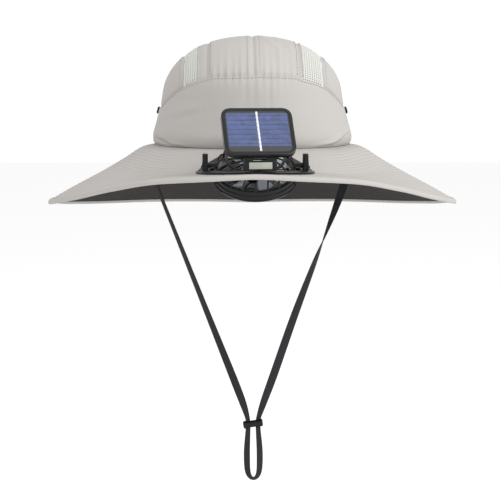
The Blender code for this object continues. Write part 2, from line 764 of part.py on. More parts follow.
def make_grille(name, stations, ribs, rib_width, swirl, thickness, parent, finish):
    """A round grille. Stations are radius, height and whether the band inside it is a whole ring."""
    bm = bmesh.new()
    grid = []
    for radius, height, _ in stations:
        turn = math.radians(swirl) * (1 - radius / stations[-1][0])
        half = min(rib_width / (2 * radius), math.pi / ribs * 0.8)
        ring = []
        for i in range(ribs):
            for edge in (-half, half):
                angle = 2 * math.pi * i / ribs + turn + edge
                place = Vector((radius * math.cos(angle), radius * math.sin(angle), height))
                ring.append((bm.verts.new(place), bm.verts.new(place - Vector((0, 0, thickness)))))
        grid.append(ring)
    count = 2 * ribs

    def solid(band, cell):
        if band < 0:
            return True
        return band < len(stations) - 1 and (stations[band + 1][2] or cell % 2 == 0)

    for place in range(len(stations)):
        for cell in range(count):
            after = (cell + 1) % count
            a, b = grid[place][cell], grid[place][after]
            within, beyond = solid(place - 1, cell), solid(place, cell)
            if within and not beyond:
                bm.faces.new((a[0], b[0], b[1], a[1]))
            if beyond and not within:
                bm.faces.new((a[0], a[1], b[1], b[0]))
            if beyond:
                c, d = grid[place + 1][after], grid[place + 1][cell]
                bm.faces.new((a[0], b[0], c[0], d[0]))
                bm.faces.new((a[1], d[1], c[1], b[1]))
                if not solid(place, cell - 1 if cell else count - 1):
                    bm.faces.new((a[0], d[0], d[1], a[1]))
                if not solid(place, after):
                    bm.faces.new((b[0], b[1], c[1], c[0]))
    bm.faces.new([pair[0] for pair in grid[0]])
    bm.faces.new([pair[1] for pair in reversed(grid[0])])
    bmesh.ops.triangulate(bm, faces=bm.faces)
    grille = new_object(name, bm, finish)
    grille.parent = parent
    return grille


def make_grilles(parent):
    """The domed guard in front of the blades, and the flat one behind them."""
    rim = HOUSING_TOP_RADIUS
    base = HOUSING_TOP + GAP + GRILLE_THICKNESS
    stations = (
        (MOTOR_RADIUS + 0.0010, base + GRILLE_DOME, True),
        (MOTOR_RADIUS + 0.0025, base + GRILLE_DOME, True),
        (0.72 * rim, base + 0.80 * GRILLE_DOME, False),
        (0.78 * rim, base + 0.70 * GRILLE_DOME, True),
        (rim - HOUSING_WALL - 0.0006, base + 0.10 * GRILLE_DOME, False),
        (rim, base, True),
    )
    make_grille("fan_grille", stations, GRILLE_RIBS, GRILLE_RIB_WIDTH, GRILLE_SWIRL,
                GRILLE_THICKNESS, parent, black_plastic("fan_grille_plastic"))
    floor = HOUSING_BOTTOM + GRILLE_THICKNESS
    edge = housing_radius(floor) - HOUSING_WALL - GAP
    flat = (
        (ROTOR_HUB_RADIUS, floor, True),
        (0.52 * edge, floor, False),
        (0.58 * edge, floor, True),
        (edge - 0.0022, floor, False),
        (edge, floor, True),
    )
    make_grille("fan_back_grille", flat, BACK_GRILLE_RIBS, GRILLE_RIB_WIDTH, 0.0,
                GRILLE_THICKNESS, parent, black_plastic("fan_back_grille_plastic"))


def make_motor(parent):
    """The motor under the guard's middle, with the shaft that the blades turn on."""
    metal = material("fan_motor_metal", (0.30, 0.30, 0.31), 0.35, 1.0)
    top = HOUSING_TOP + GRILLE_DOME
    motor = cylinder("fan_motor", MOTOR_RADIUS, ROTOR_TOP + RUNNING_GAP, top, "Z", (0, 0, 0), metal)
    motor.parent = parent
    shaft = cylinder("fan_shaft", SHAFT_RADIUS, ROTOR_BOTTOM + 0.0015, ROTOR_TOP + 0.001, "Z",
                     (0, 0, 0), metal, sides=12)
    cut(motor, shaft, "UNION")
    return motor


def make_rotor(parent):
    """The hub and its twisted blades, grown from the hub's own sides."""
    finish = material("fan_rotor_plastic", (0.20, 0.22, 0.25), 0.22)
    sides = ROTOR_BLADES * 3
    bm = bmesh.new()
    bmesh.ops.create_cone(bm, cap_ends=True, segments=sides, radius1=ROTOR_HUB_RADIUS,
                          radius2=ROTOR_HUB_RADIUS, depth=ROTOR_TOP - ROTOR_BOTTOM)
    bmesh.ops.translate(bm, vec=(0, 0, (ROTOR_TOP + ROTOR_BOTTOM) / 2), verts=bm.verts)
    bm.faces.ensure_lookup_table()
    walls = [face for face in bm.faces if abs(face.normal.z) < 0.5]
    walls.sort(key=lambda face: math.atan2(face.calc_center_median().y, face.calc_center_median().x))
    middle = Vector((0, 0, (ROTOR_TOP + ROTOR_BOTTOM) / 2))
    for index in range(0, sides, 3):
        face = walls[index]
        spot = face.calc_center_median()
        heading = math.atan2(spot.y, spot.x)
        along = Vector((math.cos(heading), math.sin(heading), 0))
        across = Vector((-math.sin(heading), math.cos(heading), 0))
        centre, lie, thick = middle, across, Vector((0, 0, 1))
        for share in (0.25, 0.5, 0.75, 1.0):
            face = bmesh.ops.extrude_discrete_faces(bm, faces=[face])["faces"][0]
            ways = [(math.copysign(1, (vert.co - centre).dot(lie)),
                     math.copysign(1, (vert.co - centre).dot(thick))) for vert in face.verts]
            chord = BLADE_ROOT_CHORD + (BLADE_TIP_CHORD - BLADE_ROOT_CHORD) * share
            pitch = math.radians(ROTOR_PITCH * (1.25 - 0.45 * share))
            lie = across * math.cos(pitch) + Vector((0, 0, math.sin(pitch)))
            thick = -across * math.sin(pitch) + Vector((0, 0, math.cos(pitch)))
            radius = ROTOR_HUB_RADIUS + (ROTOR_RADIUS - ROTOR_HUB_RADIUS) * share
            centre = middle + along * math.sqrt(radius ** 2 - (chord / 2) ** 2)
            for vert, (sideways, upwards) in zip(face.verts, ways):
                vert.co = centre + lie * sideways * chord / 2 + thick * upwards * BLADE_THICKNESS / 2
    rotor = new_object("fan_rotor", bm, finish)
    rotor.parent = parent
    cut(rotor, cylinder("rotor_bore", SHAFT_RADIUS + RUNNING_GAP, ROTOR_BOTTOM + 0.0012,
                        ROTOR_TOP + 0.002, "Z", (0, 0, 0), finish, sides=12))
    return rotor


def make_fan():
    make_fan_frame()
    make_clamp_ring()
    make_pivot_screws()
    pivot = empty("fan_pivot", (0, FAN_Y, FAN_PIVOT_Z), (math.radians(FAN_TILT), 0, 0))
    make_housing(pivot)
    make_grilles(pivot)
    make_motor(pivot)
    make_rotor(pivot)


# Solar panel on its stand

def rounded_prism(name, x_half, z_low, z_high, corner, y_front, y_back, finish):
    """A plate with round corners, its face towards -Y."""
    bm = bmesh.new()
    verts = []
    corners = ((x_half - corner, z_high - corner, 0), (-x_half + corner, z_high - corner, 90),
               (-x_half + corner, z_low + corner, 180), (x_half - corner, z_low + corner, 270))
    for x, z, start in corners:
        for i in range(5):
            angle = math.radians(start + 90 * i / 4)
            verts.append(bm.verts.new((x + corner * math.cos(angle), y_front, z + corner * math.sin(angle))))
    face = bm.faces.new(verts)
    grown = bmesh.ops.extrude_face_region(bm, geom=[face])["geom"]
    moved = [item for item in grown if isinstance(item, bmesh.types.BMVert)]
    bmesh.ops.translate(bm, vec=(0, y_back - y_front, 0), verts=moved)
    return new_object(name, bm, finish)


def make_yoke(parent):
    """The block that turns on the frame's peg, with the hinge's two ears and a bare plate."""
    plastic = black_plastic("panel_yoke_plastic")
    half = YOKE_WIDTH / 2
    yoke = block("panel_yoke", (-half, -YOKE_DEPTH / 2, GAP), (half, YOKE_DEPTH / 2, YOKE_HEIGHT), plastic,
                 bevel=0.0003)
    yoke.parent = parent
    inner = KNUCKLE_HALF_WIDTH + GAP
    for side, word in ((-1, "left"), (1, "right")):
        low, high = min(side * inner, side * half), max(side * inner, side * half)
        web = block("yoke_web_" + word, (low, -HINGE_BARREL_RADIUS * 0.9, YOKE_HEIGHT - 0.001),
                    (high, HINGE_BARREL_RADIUS * 0.9, HINGE_RISE), plastic)
        cut(yoke, web, "UNION")
        ear = cylinder("yoke_ear_" + word, HINGE_BARREL_RADIUS, low + 0.00005, high - 0.00005, "X",
                       (0, 0, HINGE_RISE), plastic, sides=16)
        cut(yoke, ear, "UNION")
    cut(yoke, cylinder("yoke_pin_hole", HINGE_PIN_RADIUS + GAP, -half - 0.001, half + 0.001, "X",
                       (0, 0, HINGE_RISE), plastic, sides=12))
    cut(yoke, cylinder("yoke_peg_hole", PEG_RADIUS + RUNNING_GAP, -0.001, PEG_HEIGHT + GAP, "Z",
                       (0, 0, 0), plastic, sides=16))
    low = GAP + (YOKE_HEIGHT - GAP - PLATE_HEIGHT) / 2
    face = -YOKE_DEPTH / 2
    cut(yoke, block("yoke_recess", (-PLATE_WIDTH / 2, face - 0.001, low),
                    (PLATE_WIDTH / 2, face + PLATE_THICKNESS, low + PLATE_HEIGHT), plastic))
    plate = block("stand_plate", (-PLATE_WIDTH / 2 + GAP, face, low + GAP),
                  (PLATE_WIDTH / 2 - GAP, face + PLATE_THICKNESS - GAP, low + PLATE_HEIGHT - GAP),
                  material("stand_plate_plastic", (0.42, 0.44, 0.38), 0.45))
    plate.parent = parent
    pin = cylinder("hinge_pin", HINGE_PIN_RADIUS, -half, half, "X", (0, 0, HINGE_RISE),
                   material("hinge_pin_metal", (0.45, 0.45, 0.46), 0.3, 1.0), sides=12)
    pin.parent = parent


def make_panel(parent):
    """The panel's tray with its knuckle, and the cell in it."""
    plastic = black_plastic("panel_frame_plastic")
    half = PANEL_WIDTH / 2
    low, high = -PANEL_BELOW_HINGE, PANEL_LENGTH - PANEL_BELOW_HINGE
    back = -PANEL_OFF_HINGE
    front = back - PANEL_THICKNESS
    tray = rounded_prism("panel_frame", half, low, high, PANEL_CORNER, front, back, plastic)
    tray.parent = parent
    lug = block("panel_lug", (-KNUCKLE_HALF_WIDTH, back - 0.001, -HINGE_BARREL_RADIUS * 0.5),
                (KNUCKLE_HALF_WIDTH, 0.0, HINGE_BARREL_RADIUS * 0.9), plastic)
    cut(tray, lug, "UNION")
    cut(tray, cylinder("panel_knuckle", HINGE_BARREL_RADIUS, -KNUCKLE_HALF_WIDTH, KNUCKLE_HALF_WIDTH, "X",
                       (0, 0, 0), plastic, sides=16), "UNION")
    cut(tray, cylinder("panel_pin_hole", HINGE_PIN_RADIUS + RUNNING_GAP, -0.01, 0.01, "X",
                       (0, 0, 0), plastic, sides=12))
    cut(tray, rounded_prism("cell_recess", half - CELL_MARGIN, low + CELL_MARGIN, high - CELL_MARGIN,
                            CELL_CORNER, front - 0.001, front + CELL_DEPTH, plastic))
    cell = rounded_prism("solar_cell", half - CELL_MARGIN - GAP, low + CELL_MARGIN + GAP,
                         high - CELL_MARGIN - GAP, CELL_CORNER - GAP, front + GAP, front + CELL_DEPTH - GAP,
                         material("solar_cell_glass", (0.045, 0.075, 0.23), 0.15, 0.2))
    cell.parent = parent


def make_solar_panel():
    seat = flange_top(STAND_X, STAND_Y)
    swivel = empty("panel_swivel", (STAND_X, STAND_Y, seat), (0, 0, math.radians(STAND_YAW)))
    make_yoke(swivel)
    hinge = empty("panel_hinge", (0, 0, HINGE_RISE), (math.radians(-PANEL_LEAN), 0, 0), swivel)
    make_panel(hinge)


# Chin strap

def smooth_route(rows, steps):
    """Points on a smooth curve through the rows, a few in each stretch."""
    points = []
    last = len(rows) - 1
    for i in range(last):
        near = (rows[max(i - 1, 0)], rows[i], rows[i + 1], rows[min(i + 2, last)])
        for step in range(steps):
            t = step / steps
            points.append([0.5 * (2 * b + (c - a) * t + (2 * a - 5 * b + 4 * c - d) * t * t
                                  + (3 * b - a - 3 * c + d) * t ** 3) for a, b, c, d in zip(*near)])
    points.append(list(rows[-1]))
    return points


def make_strap():
    curve = bpy.data.curves.new("chin_strap", "CURVE")
    curve.dimensions = "3D"
    curve.twist_mode = "MINIMUM"
    curve.bevel_depth = STRAP_THICKNESS / 2
    curve.extrude = (STRAP_WIDTH - STRAP_THICKNESS) / 2
    curve.bevel_resolution = 2
    curve.render_resolution_u = 0
    curve.use_fill_caps = True
    points = smooth_route(STRAP_ROUTE, STRAP_STEPS)
    spline = curve.splines.new("POLY")
    spline.points.add(len(points) - 1)
    for spot, (x, y, z, turn, share) in zip(spline.points, points):
        spot.co = (x, y, z, 1.0)
        spot.tilt = math.radians(turn)
        spot.radius = share
    strap = bpy.data.objects.new("chin_strap", curve)
    strap.data.materials.append(dark_cloth("chin_strap_tape"))
    bpy.context.scene.collection.objects.link(strap)
    return strap


def make_toggle():
    """The barrel that both halves of the strap run through."""
    plastic = black_plastic("cord_toggle_plastic")
    half = TOGGLE_LENGTH / 2
    toggle = cylinder("cord_toggle", TOGGLE_RADIUS, -half, half, "X", (0, 0, 0), plastic, sides=20)
    toggle.location = (TOGGLE_X, TOGGLE_Y, TOGGLE_Z)
    toggle.rotation_euler = (0, math.radians(-TOGGLE_ROLL), 0)
    for side, word in ((-1, "left"), (1, "right")):
        middle = TOGGLE_X + side * TOGGLE_SLOT_OFFSET
        reach = 2 * TOGGLE_RADIUS
        slot = block("toggle_slot_" + word,
                     (middle - TOGGLE_SLOT_WIDTH / 2, TOGGLE_Y - TOGGLE_SLOT_DEPTH / 2, TOGGLE_Z - reach),
                     (middle + TOGGLE_SLOT_WIDTH / 2, TOGGLE_Y + TOGGLE_SLOT_DEPTH / 2, TOGGLE_Z + reach),
                     plastic)
        cut(toggle, slot)
    return toggle


def main():
    clear_scene()
    make_crown()
    make_brim()
    make_fan()
    make_solar_panel()
    make_strap()
    make_toggle()


main()
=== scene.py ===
"""Sun hat with a solar panel and a tilting fan in the front of its brim.

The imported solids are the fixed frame. Cloth, tape and the finer plastic pieces are modelled
here in the same metres and axes: +Z up, the front of the hat towards -Y.
"""

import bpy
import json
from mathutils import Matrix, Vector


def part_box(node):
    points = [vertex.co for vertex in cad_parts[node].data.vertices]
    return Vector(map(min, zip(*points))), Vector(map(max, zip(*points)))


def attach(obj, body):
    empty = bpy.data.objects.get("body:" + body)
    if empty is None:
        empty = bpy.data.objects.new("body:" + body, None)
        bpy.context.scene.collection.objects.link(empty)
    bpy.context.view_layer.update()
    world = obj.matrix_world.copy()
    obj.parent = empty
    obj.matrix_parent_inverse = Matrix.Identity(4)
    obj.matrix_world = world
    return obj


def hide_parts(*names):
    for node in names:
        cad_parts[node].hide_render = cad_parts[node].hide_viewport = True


bl_info = {
    "name": "Solar fan hat",
    "version": (1, 0, 0),
    "blender": (4, 5, 0),
    "location": "View3D > Sidebar > Hat",
    "description": "Models a sun hat with a fan in its brim, a solar panel and a chin strap",
    "category": "Object",
}

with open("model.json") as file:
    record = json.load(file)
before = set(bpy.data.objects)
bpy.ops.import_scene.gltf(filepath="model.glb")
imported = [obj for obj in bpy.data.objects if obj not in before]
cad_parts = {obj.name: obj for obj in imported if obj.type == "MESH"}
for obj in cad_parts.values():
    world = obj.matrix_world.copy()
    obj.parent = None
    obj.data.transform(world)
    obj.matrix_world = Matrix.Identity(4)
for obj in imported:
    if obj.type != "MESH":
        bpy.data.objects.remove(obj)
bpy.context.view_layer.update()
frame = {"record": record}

import json
import math
from contextlib import contextmanager
from functools import partial

import bmesh
import bpy
from bpy.props import FloatProperty, FloatVectorProperty, IntProperty, PointerProperty
from mathutils import Matrix, Vector

JOINTS = {joint["name"]: joint for joint in frame["record"]["behaviour"]["joints"]}
FAN_PIVOT = Vector(JOINTS["fan_tilt"]["pos_m"])
PANEL_HINGE = Vector(JOINTS["panel_tilt"]["pos_m"])

# Left and right, as the signs of x and the words in the names
SIDES = ((-1, "left"), (1, "right"))

# Crown, as the solids have it
CROWN_HALF_WIDTH = 0.091
CROWN_HALF_LENGTH = 0.107
CROWN_HEIGHT = 0.098
CENTRE_PANEL_HALF_WIDTH = 0.040
VENT_OUTER_SEAM = 0.062
SECTION_BASE = 0.3

# Share of the crown's height, and of its half-width or half-length there
CROWN_PROFILE = (
    (0.000, 0.985),
    (0.070, 0.998),
    (0.200, 0.965),
    (0.366, 0.918),
    (0.550, 0.880),
    (0.660, 0.829),
    (0.750, 0.758),
    (0.830, 0.659),
    (0.900, 0.540),
    (0.960, 0.360),
    (1.000, 0.000),
)

# Seam on top of the side wall: degrees from the front or the back, share of the crown's height
ARCH_SEAM = (
    (0.0, 0.628),
    (26.0, 0.620),
    (33.0, 0.594),
    (42.0, 0.564),
    (52.0, 0.518),
    (62.0, 0.452),
    (76.0, 0.370),
    (90.0, 0.345),
)

# Gathers at the arched seam: place in x, height, half-width, reach above the seam, reach below it
GATHERS = (
    (-0.0345, 0.0010, 0.0016, 0.008, 0.004),
    (-0.0290, 0.0009, 0.0014, 0.010, 0.005),
    (-0.0225, 0.0012, 0.0018, 0.013, 0.006),
    (-0.0160, 0.0008, 0.0014, 0.009, 0.008),
    (-0.0105, 0.0012, 0.0017, 0.014, 0.010),
    (-0.0040, 0.0008, 0.0015, 0.010, 0.016),
    (0.0035, 0.0009, 0.0016, 0.009, 0.020),
    (0.0100, 0.0013, 0.0017, 0.015, 0.018),
    (0.0160, 0.0010, 0.0015, 0.012, 0.012),
    (0.0220, 0.0013, 0.0018, 0.016, 0.014),
    (0.0275, 0.0009, 0.0014, 0.010, 0.007),
    (0.0335, 0.0011, 0.0016, 0.011, 0.005),
)

# Soft folds: side of y, x, z, lean in degrees from upright, half-length, half-width, height
CROWN_FOLDS = (
    (-1, 0.0160, 0.0900, -52.0, 0.010, 0.0022, 0.0009),
    (-1, 0.0330, 0.0850, -48.0, 0.009, 0.0020, 0.0008),
    (-1, 0.0230, 0.0800, -10.0, 0.014, 0.0035, 0.0006),
    (-1, -0.0560, 0.0330, 80.0, 0.016, 0.0040, 0.0007),
    (-1, -0.0620, 0.0260, 70.0, 0.012, 0.0030, -0.0006),
    (-1, -0.0400, 0.0180, 35.0, 0.020, 0.0080, -0.0008),
    (-1, 0.0180, 0.0480, 4.0, 0.016, 0.0040, 0.0008),
    (-1, 0.0060, 0.0460, -3.0, 0.016, 0.0035, 0.0007),
    (-1, -0.0080, 0.0450, 2.0, 0.014, 0.0040, -0.0005),
    (-1, 0.0540, 0.0290, 15.0, 0.022, 0.0080, 0.0009),
    (-1, 0.0720, 0.0065, 68.0, 0.009, 0.0013, 0.0016),
    (-1, 0.0770, 0.0095, 60.0, 0.010, 0.0013, 0.0014),
    (-1, 0.0650, 0.0040, 80.0, 0.012, 0.0012, 0.0010),
    (-1, -0.0800, 0.0040, -74.0, 0.008, 0.0014, -0.0022),
    (-1, -0.0700, 0.0030, -84.0, 0.012, 0.0013, 0.0010),
    (1, 0.0200, 0.0460, 6.0, 0.018, 0.0040, 0.0008),
    (1, -0.0240, 0.0420, -8.0, 0.020, 0.0050, 0.0008),
    (1, 0.0600, 0.0180, 50.0, 0.016, 0.0040, 0.0009),
    (1, -0.0660, 0.0120, -60.0, 0.014, 0.0030, 0.0010),
    (1, -0.0150, 0.0860, 46.0, 0.012, 0.0024, 0.0008),
)

# Mesh vents: cells of the knit, and the plain columns at the inner edge of each
VENT_COLUMNS = 11
VENT_ROWS = 96
VENT_PLAIN = {-1: 4, 1: 1}
VENT_WIDTH = 0.022
VENT_LENGTH = 0.20
VENT_SEAM_LENGTH = 0.19
VENT_WAVE = 0.0011
VENT_WAVES = 34
VENT_CLOTH = 0.0009
VENT_SUNK = 0.0002
YARN_INSET = 0.00034

# Snap caps, and their profile: height above the seat, radius
SNAP_AZIMUTH = 88.0
SNAP_SUNK = 0.0010
SNAP_PROFILE = ((0.0, 0.0), (0.0, 0.0033), (0.0008, 0.0034), (0.0014, 0.0031), (0.0018, 0.0024),
                (0.0017, 0.0019), (0.0013, 0.0014), (0.0013, 0.0))

# Crown cloth: columns and rows of each grid, how the side wall's rows close up towards the brim,
# the length of a centre panel over the top, the slow unevenness, and the reach of a fold's edge
BAND_GRID = (420, 46)
CENTRE_GRID = (60, 180)
SIDE_GRID = (150, 36)
BAND_ROW_POWER = 1.15
CENTRE_LENGTH = 0.20
UNEVENNESS = 0.00035
FOLD_REACH = 3

# Topstitching: its distances from the seams, and the steps along a seam
CENTRE_STITCHING = 0.0052
PANEL_STITCHING = 0.0024
VENT_STITCHING = {-1: 0.0085, 1: 0.0022}
SIDE_STITCHING = 0.0022
ARCH_STITCHING = 0.0018
SEAM_STEPS = 120

# Brim, as the solids have it
BRIM_HALF_WIDTH = 0.186
BRIM_FRONT = 0.208
BRIM_BACK = 0.190
BRIM_DROP = 0.068
BRIM_CLOTH = 0.0012
UNDERSIDE_CLOTH = 0.0010
CLOTH_GAP = 0.0003
CROWN_CLOTH = 0.0014
BINDING_WIDTH = 0.0036
BINDING_HEIGHT = 0.0041
FRONT_SHAPE_FULL = 20.0
FRONT_SHAPE_NONE = 70.0
NOSE_ROUNDING = 12.0
FAN_SHAPE_FULL = 0.054
FAN_SHAPE_NONE = 0.074
BRIM_REACH = BRIM_HALF_WIDTH - CROWN_HALF_WIDTH
BRIM_ROUND = 1.22
BRIM_COLUMNS = 320
ROWS_PER_QUILTING = 4
BINDING_GRID = (480, 14)
BINDING_ROUND = 0.012
BINDING_OVERLAP = 0.0022
STITCH_MARGIN = 0.0006

# Outer edge of the brim: degrees from the front, share of the brim's drop
BRIM_EDGE = (
    (0.0, 0.232),
    (12.0, 0.262),
    (25.0, 0.306),
    (39.0, 0.422),
    (55.0, 0.579),
    (75.0, 0.712),
    (90.0, 0.764),
    (110.0, 0.862),
    (130.0, 0.925),
    (150.0, 0.955),
    (180.0, 1.000),
)

# Fall of the brim: share of the way out, share of the edge's drop at the sides, and at the front
BRIM_FALL = (
    (0.00, 0.00, 0.00),
    (0.10, 0.03, 0.17),
    (0.30, 0.25, 0.62),
    (0.45, 0.42, 0.90),
    (0.82, 0.80, 0.93),
    (1.00, 1.00, 1.00),
)

# Fan, about its pivot, and its hole in the brim
FAN_TILT = 30.0
FAN_HOLE = 0.0390
HOUSING_OUTER = 0.0345
HOUSING_TOP_RADIUS = 0.0316
HOUSING_WALL = 0.0022
HOUSING_CHAMFER = 0.0010
BOSS_RADIUS = 0.0022
BOSS_END = 0.0383
BOSS_BORE = 0.0014
BOSS_BORE_DEPTH = 0.0030
RIM_WALL_TOP = -0.0036
RIM_GROOVE = 0.0004
RIM_GROOVE_PITCH = 0.0018
RIM_STEPS = 40
RIM_LIP_RISE = 0.0004
RIM_LIP_INSET = 0.0005
HOUSING_TOP = 0.0024
HOUSING_BOTTOM = -0.0132

GUARD_RIBS = 20
GUARD_RIB_WIDTH = 0.0014
GUARD_RIB_THICKNESS = 0.0013
GUARD_SWIRL = 24.0
GUARD_RING_RISE = 0.0002
GUARD_RING_ROUND = 0.0003

# A rib of the guard from its middle to the rim: share of the way in percent, radius, height
GUARD_RIB = (
    (0.0, 0.0090, 0.0097),
    (30.0, 0.0180, 0.0091),
    (50.0, 0.0246, 0.0080),
    (66.0, 0.0290, 0.0058),
    (76.0, 0.0308, 0.0036),
    (88.0, 0.0322, 0.0000),
    (100.0, 0.0328, -0.0040),
)

# Top of the guard's dome: radius, height
GUARD_DOME = (
    (0.0080, 0.0097),
    (0.0180, 0.0092),
    (0.0250, 0.0079),
    (0.0290, 0.0058),
)

# Whole rings of the guard: inner radius, outer radius
GUARD_RINGS = (
    (0.0085, 0.0102),
    (0.0226, 0.0246),
)

# Solar panel, about its hinge
STAND_YAW = 9.0
PANEL_LEAN = 37.0
PANEL_HALF_WIDTH = 0.0285
PANEL_LOW = -0.0015
PANEL_HIGH = 0.0430
PANEL_FRONT = -0.0069
CELL_SIDE = 0.0246
CELL_TOP = 0.0380
CELL_BOTTOM = 0.0066
CELL_MARGIN = 0.0031
CELL_CORNER = 0.0044
CELL_SUNK = 0.0002
CELL_THICKNESS = 0.0008
CELL_LINE_WANDER = 0.0022
CELL_LINE_SHARE = 0.12
CELL_BORDER_TINT = (0.012, 0.014, 0.017, 1.0)
BUSBAR_MARGIN = 0.0035
BUSBAR_WIDTH = 0.0016
BUSBAR_HEIGHT = 0.00025
BUSBAR_SEAT = 0.0003

# Chin strap: a flat tape
STRAP_WIDTH = 0.0080
STRAP_THICKNESS = 0.0010
STRAP_STEPS = 8
TAPE_RIB_PITCH = 0.0013
TAPE_RIB_TURN = 0.0024

# Route of the tape: x, y, z in metres, turn of the tape in degrees, share of its full width
STRAP_ROUTE = (
    (-0.0992, -0.0039, -0.0056, 60.0, 1.00),
    (-0.0904, -0.0050, -0.0300, 60.0, 1.00),
    (-0.0815, -0.0060, -0.0540, 60.0, 1.00),
    (-0.0616, -0.0070, -0.1050, 52.0, 1.00),
    (-0.0405, -0.0076, -0.1590, 40.0, 1.00),
    (-0.0194, -0.0080, -0.2130, 22.0, 1.00),
    (-0.0092, -0.0082, -0.2400, 0.0, 0.84),
    (-0.0046, -0.0082, -0.2550, -12.0, 0.56),
    (-0.0041, -0.0082, -0.2610, -12.0, 0.56),
    (-0.0040, -0.0082, -0.2670, -12.0, 0.58),
    (-0.0050, -0.0078, -0.2890, 5.0, 0.74),
    (-0.0040, -0.0074, -0.3080, 28.0, 0.78),
    (0.0012, -0.0072, -0.3140, 40.0, 0.75),
    (0.0062, -0.0074, -0.3080, 28.0, 0.78),
    (0.0070, -0.0078, -0.2890, 5.0, 0.74),
    (0.0056, -0.0082, -0.2670, -12.0, 0.58),
    (0.0055, -0.0082, -0.2610, -12.0, 0.56),
    (0.0060, -0.0082, -0.2550, -12.0, 0.56),
    (0.0112, -0.0082, -0.2390, 0.0, 0.84),
    (0.0205, -0.0080, -0.2130, 10.0, 1.00),
    (0.0390, -0.0076, -0.1590, 20.0, 1.00),
    (0.0580, -0.0070, -0.1080, 50.0, 1.00),
    (0.0672, -0.0066, -0.0840, 88.0, 1.00),
    (0.0785, -0.0060, -0.0540, 130.0, 1.00),
    (0.0861, -0.0050, -0.0320, 150.0, 1.00),
    (0.0941, -0.0039, -0.0043, 165.0, 1.00),
)

# Toggle, and its end: distance from the end, share of the radius
TOGGLE_HALF = 0.00925
TOGGLE_RADIUS = 0.0036
TOGGLE_TURN = 82.0
TOGGLE_STEPS = 8
TOGGLE_END = ((0.0, 0.0), (0.0, 0.55), (0.0003, 0.86), (0.0010, 1.0), (0.0024, 1.0), (0.0034, 0.90))

# One stitch: place along it, share of its thickness, dip in thicknesses
STITCH_SHAPE = ((-0.5, 0.35, 0.4), (-0.28, 1.0, 0.0), (0.28, 1.0, 0.0), (0.5, 0.35, 0.4))
STITCH_SIDES = 6
STITCH_RISE = 0.2
ROW_STITCH = 0.0030

# Distance within which points are joined, and degrees from which an edge is rounded
WELD = 0.00001
EDGE_ANGLE = 35.0

# Sockets of the colour mix node: share and two colours, and the result
MIX_INPUTS = (0, 6, 7)
MIX_OUTPUT = 2

# Camera: place, then degrees from looking down and degrees round Z
CAMERA_PLACE = (-0.0224, -1.2998, 0.0575)
CAMERA_PITCH = 83.157
CAMERA_TURN = -0.9
CAMERA_LENS = 101.7
SENSOR_WIDTH = 36.0

# Stage. A light's row is its name, place, target, size and the setting of its strength
FLOOR_SIZE = 14.0
FLOOR_HEIGHT = -0.42
LIGHTS = (
    ("key_light", (1.35, -1.15, 0.95), (0.0, -0.02, 0.0), (0.9, 1.2), "key"),
    ("fill_light", (-1.5, -1.0, 0.3), (0.0, 0.0, -0.05), (1.0, 1.4), "fill"),
    ("top_light", (0.1, 0.35, 1.5), (0.0, 0.0, 0.0), (1.2, 1.2), "fill"),
)


# Values that a user would change

def colour(name, text, default):
    return FloatVectorProperty(name=name, description=text, subtype="COLOR", size=3, min=0.0,
                               max=1.0, default=default)


def length(name, text, default):
    return FloatProperty(name=name, description=text, subtype="DISTANCE", unit="LENGTH",
                         default=default, precision=5)


def power(name, text, default):
    return FloatProperty(name=name, description=text, subtype="POWER", unit="POWER",
                         default=default)


class HatClothSettings(bpy.types.PropertyGroup):
    light: colour("Light cloth", "Crown, brim top and binding", (0.430, 0.412, 0.395))
    mesh: colour("Mesh cloth", "Knitted vents", (0.56, 0.56, 0.53))
    dark: colour("Dark cloth", "Underside of the brim", (0.033, 0.030, 0.029))
    tape: colour("Tape", "Chin strap", (0.016, 0.015, 0.019))
    thread: colour("Thread", "Topstitching of the crown", (0.27, 0.26, 0.26))
    weave_pitch: length("Weave pitch", "Distance between two yarns", 0.0006)
    quilt_pitch: length("Quilting pitch", "Distance between two stitched rows of the brim", 0.0034)
    quilt_depth: length("Quilting depth", "Depth of the stitched rows", 0.00022)
    seam_depth: length("Seam depth", "How far the cloth dips at a seam", 0.0011)
    seam_reach: length("Seam reach", "Width of the dip beside a seam", 0.0016)
    stitch: length("Stitch", "Length of one stitch", 0.0024)
    stitch_pitch: length("Stitch pitch", "Distance from stitch to stitch", 0.0034)
    thread_width: length("Thread width", "Thickness of the sewing thread", 0.00042)


class HatHardSettings(bpy.types.PropertyGroup):
    black: colour("Black plastic", "Fan, frame, stand and panel tray", (0.0035, 0.0035, 0.004))
    # Blades: their own grey-blue, made lighter with a painted reflection of the studio light
    blade: colour("Blades", "Fan blades", (0.42, 0.45, 0.49))
    plate: colour("Plate", "Bare plate of the stand", (0.34, 0.36, 0.31))
    steel: colour("Steel", "Screws, pin and motor", (0.55, 0.55, 0.56))
    cell: colour("Solar cell", "Blue of the cell", (0.040, 0.066, 0.185))
    edge_round: length("Edge rounding", "Rounding of moulded edges", 0.00035)
    cell_lines: IntProperty(name="Cell lines", description="Dark lines across the cell",
                            default=7, min=1, max=40)


class HatStageSettings(bpy.types.PropertyGroup):
    floor: colour("Floor", "Pale studio floor", (0.92, 0.92, 0.92))
    key: power("Key light", "Strength of the light from the right", 22.0)
    fill: power("Fill light", "Strength of the lights from the left and above", 2.0)
    world: FloatProperty(name="Surroundings", description="Strength of the white surroundings",
                         default=1.03)


def cloth():
    return bpy.context.scene.hat_cloth


def hard():
    return bpy.context.scene.hat_hard


# Tables

def straight_value(table, place, column=1):
    for low, high in zip(table, table[1:]):
        if place <= high[0]:
            share = (place - low[0]) / (high[0] - low[0])
            return low[column] + (high[column] - low[column]) * max(share, 0.0)
    return table[-1][column]


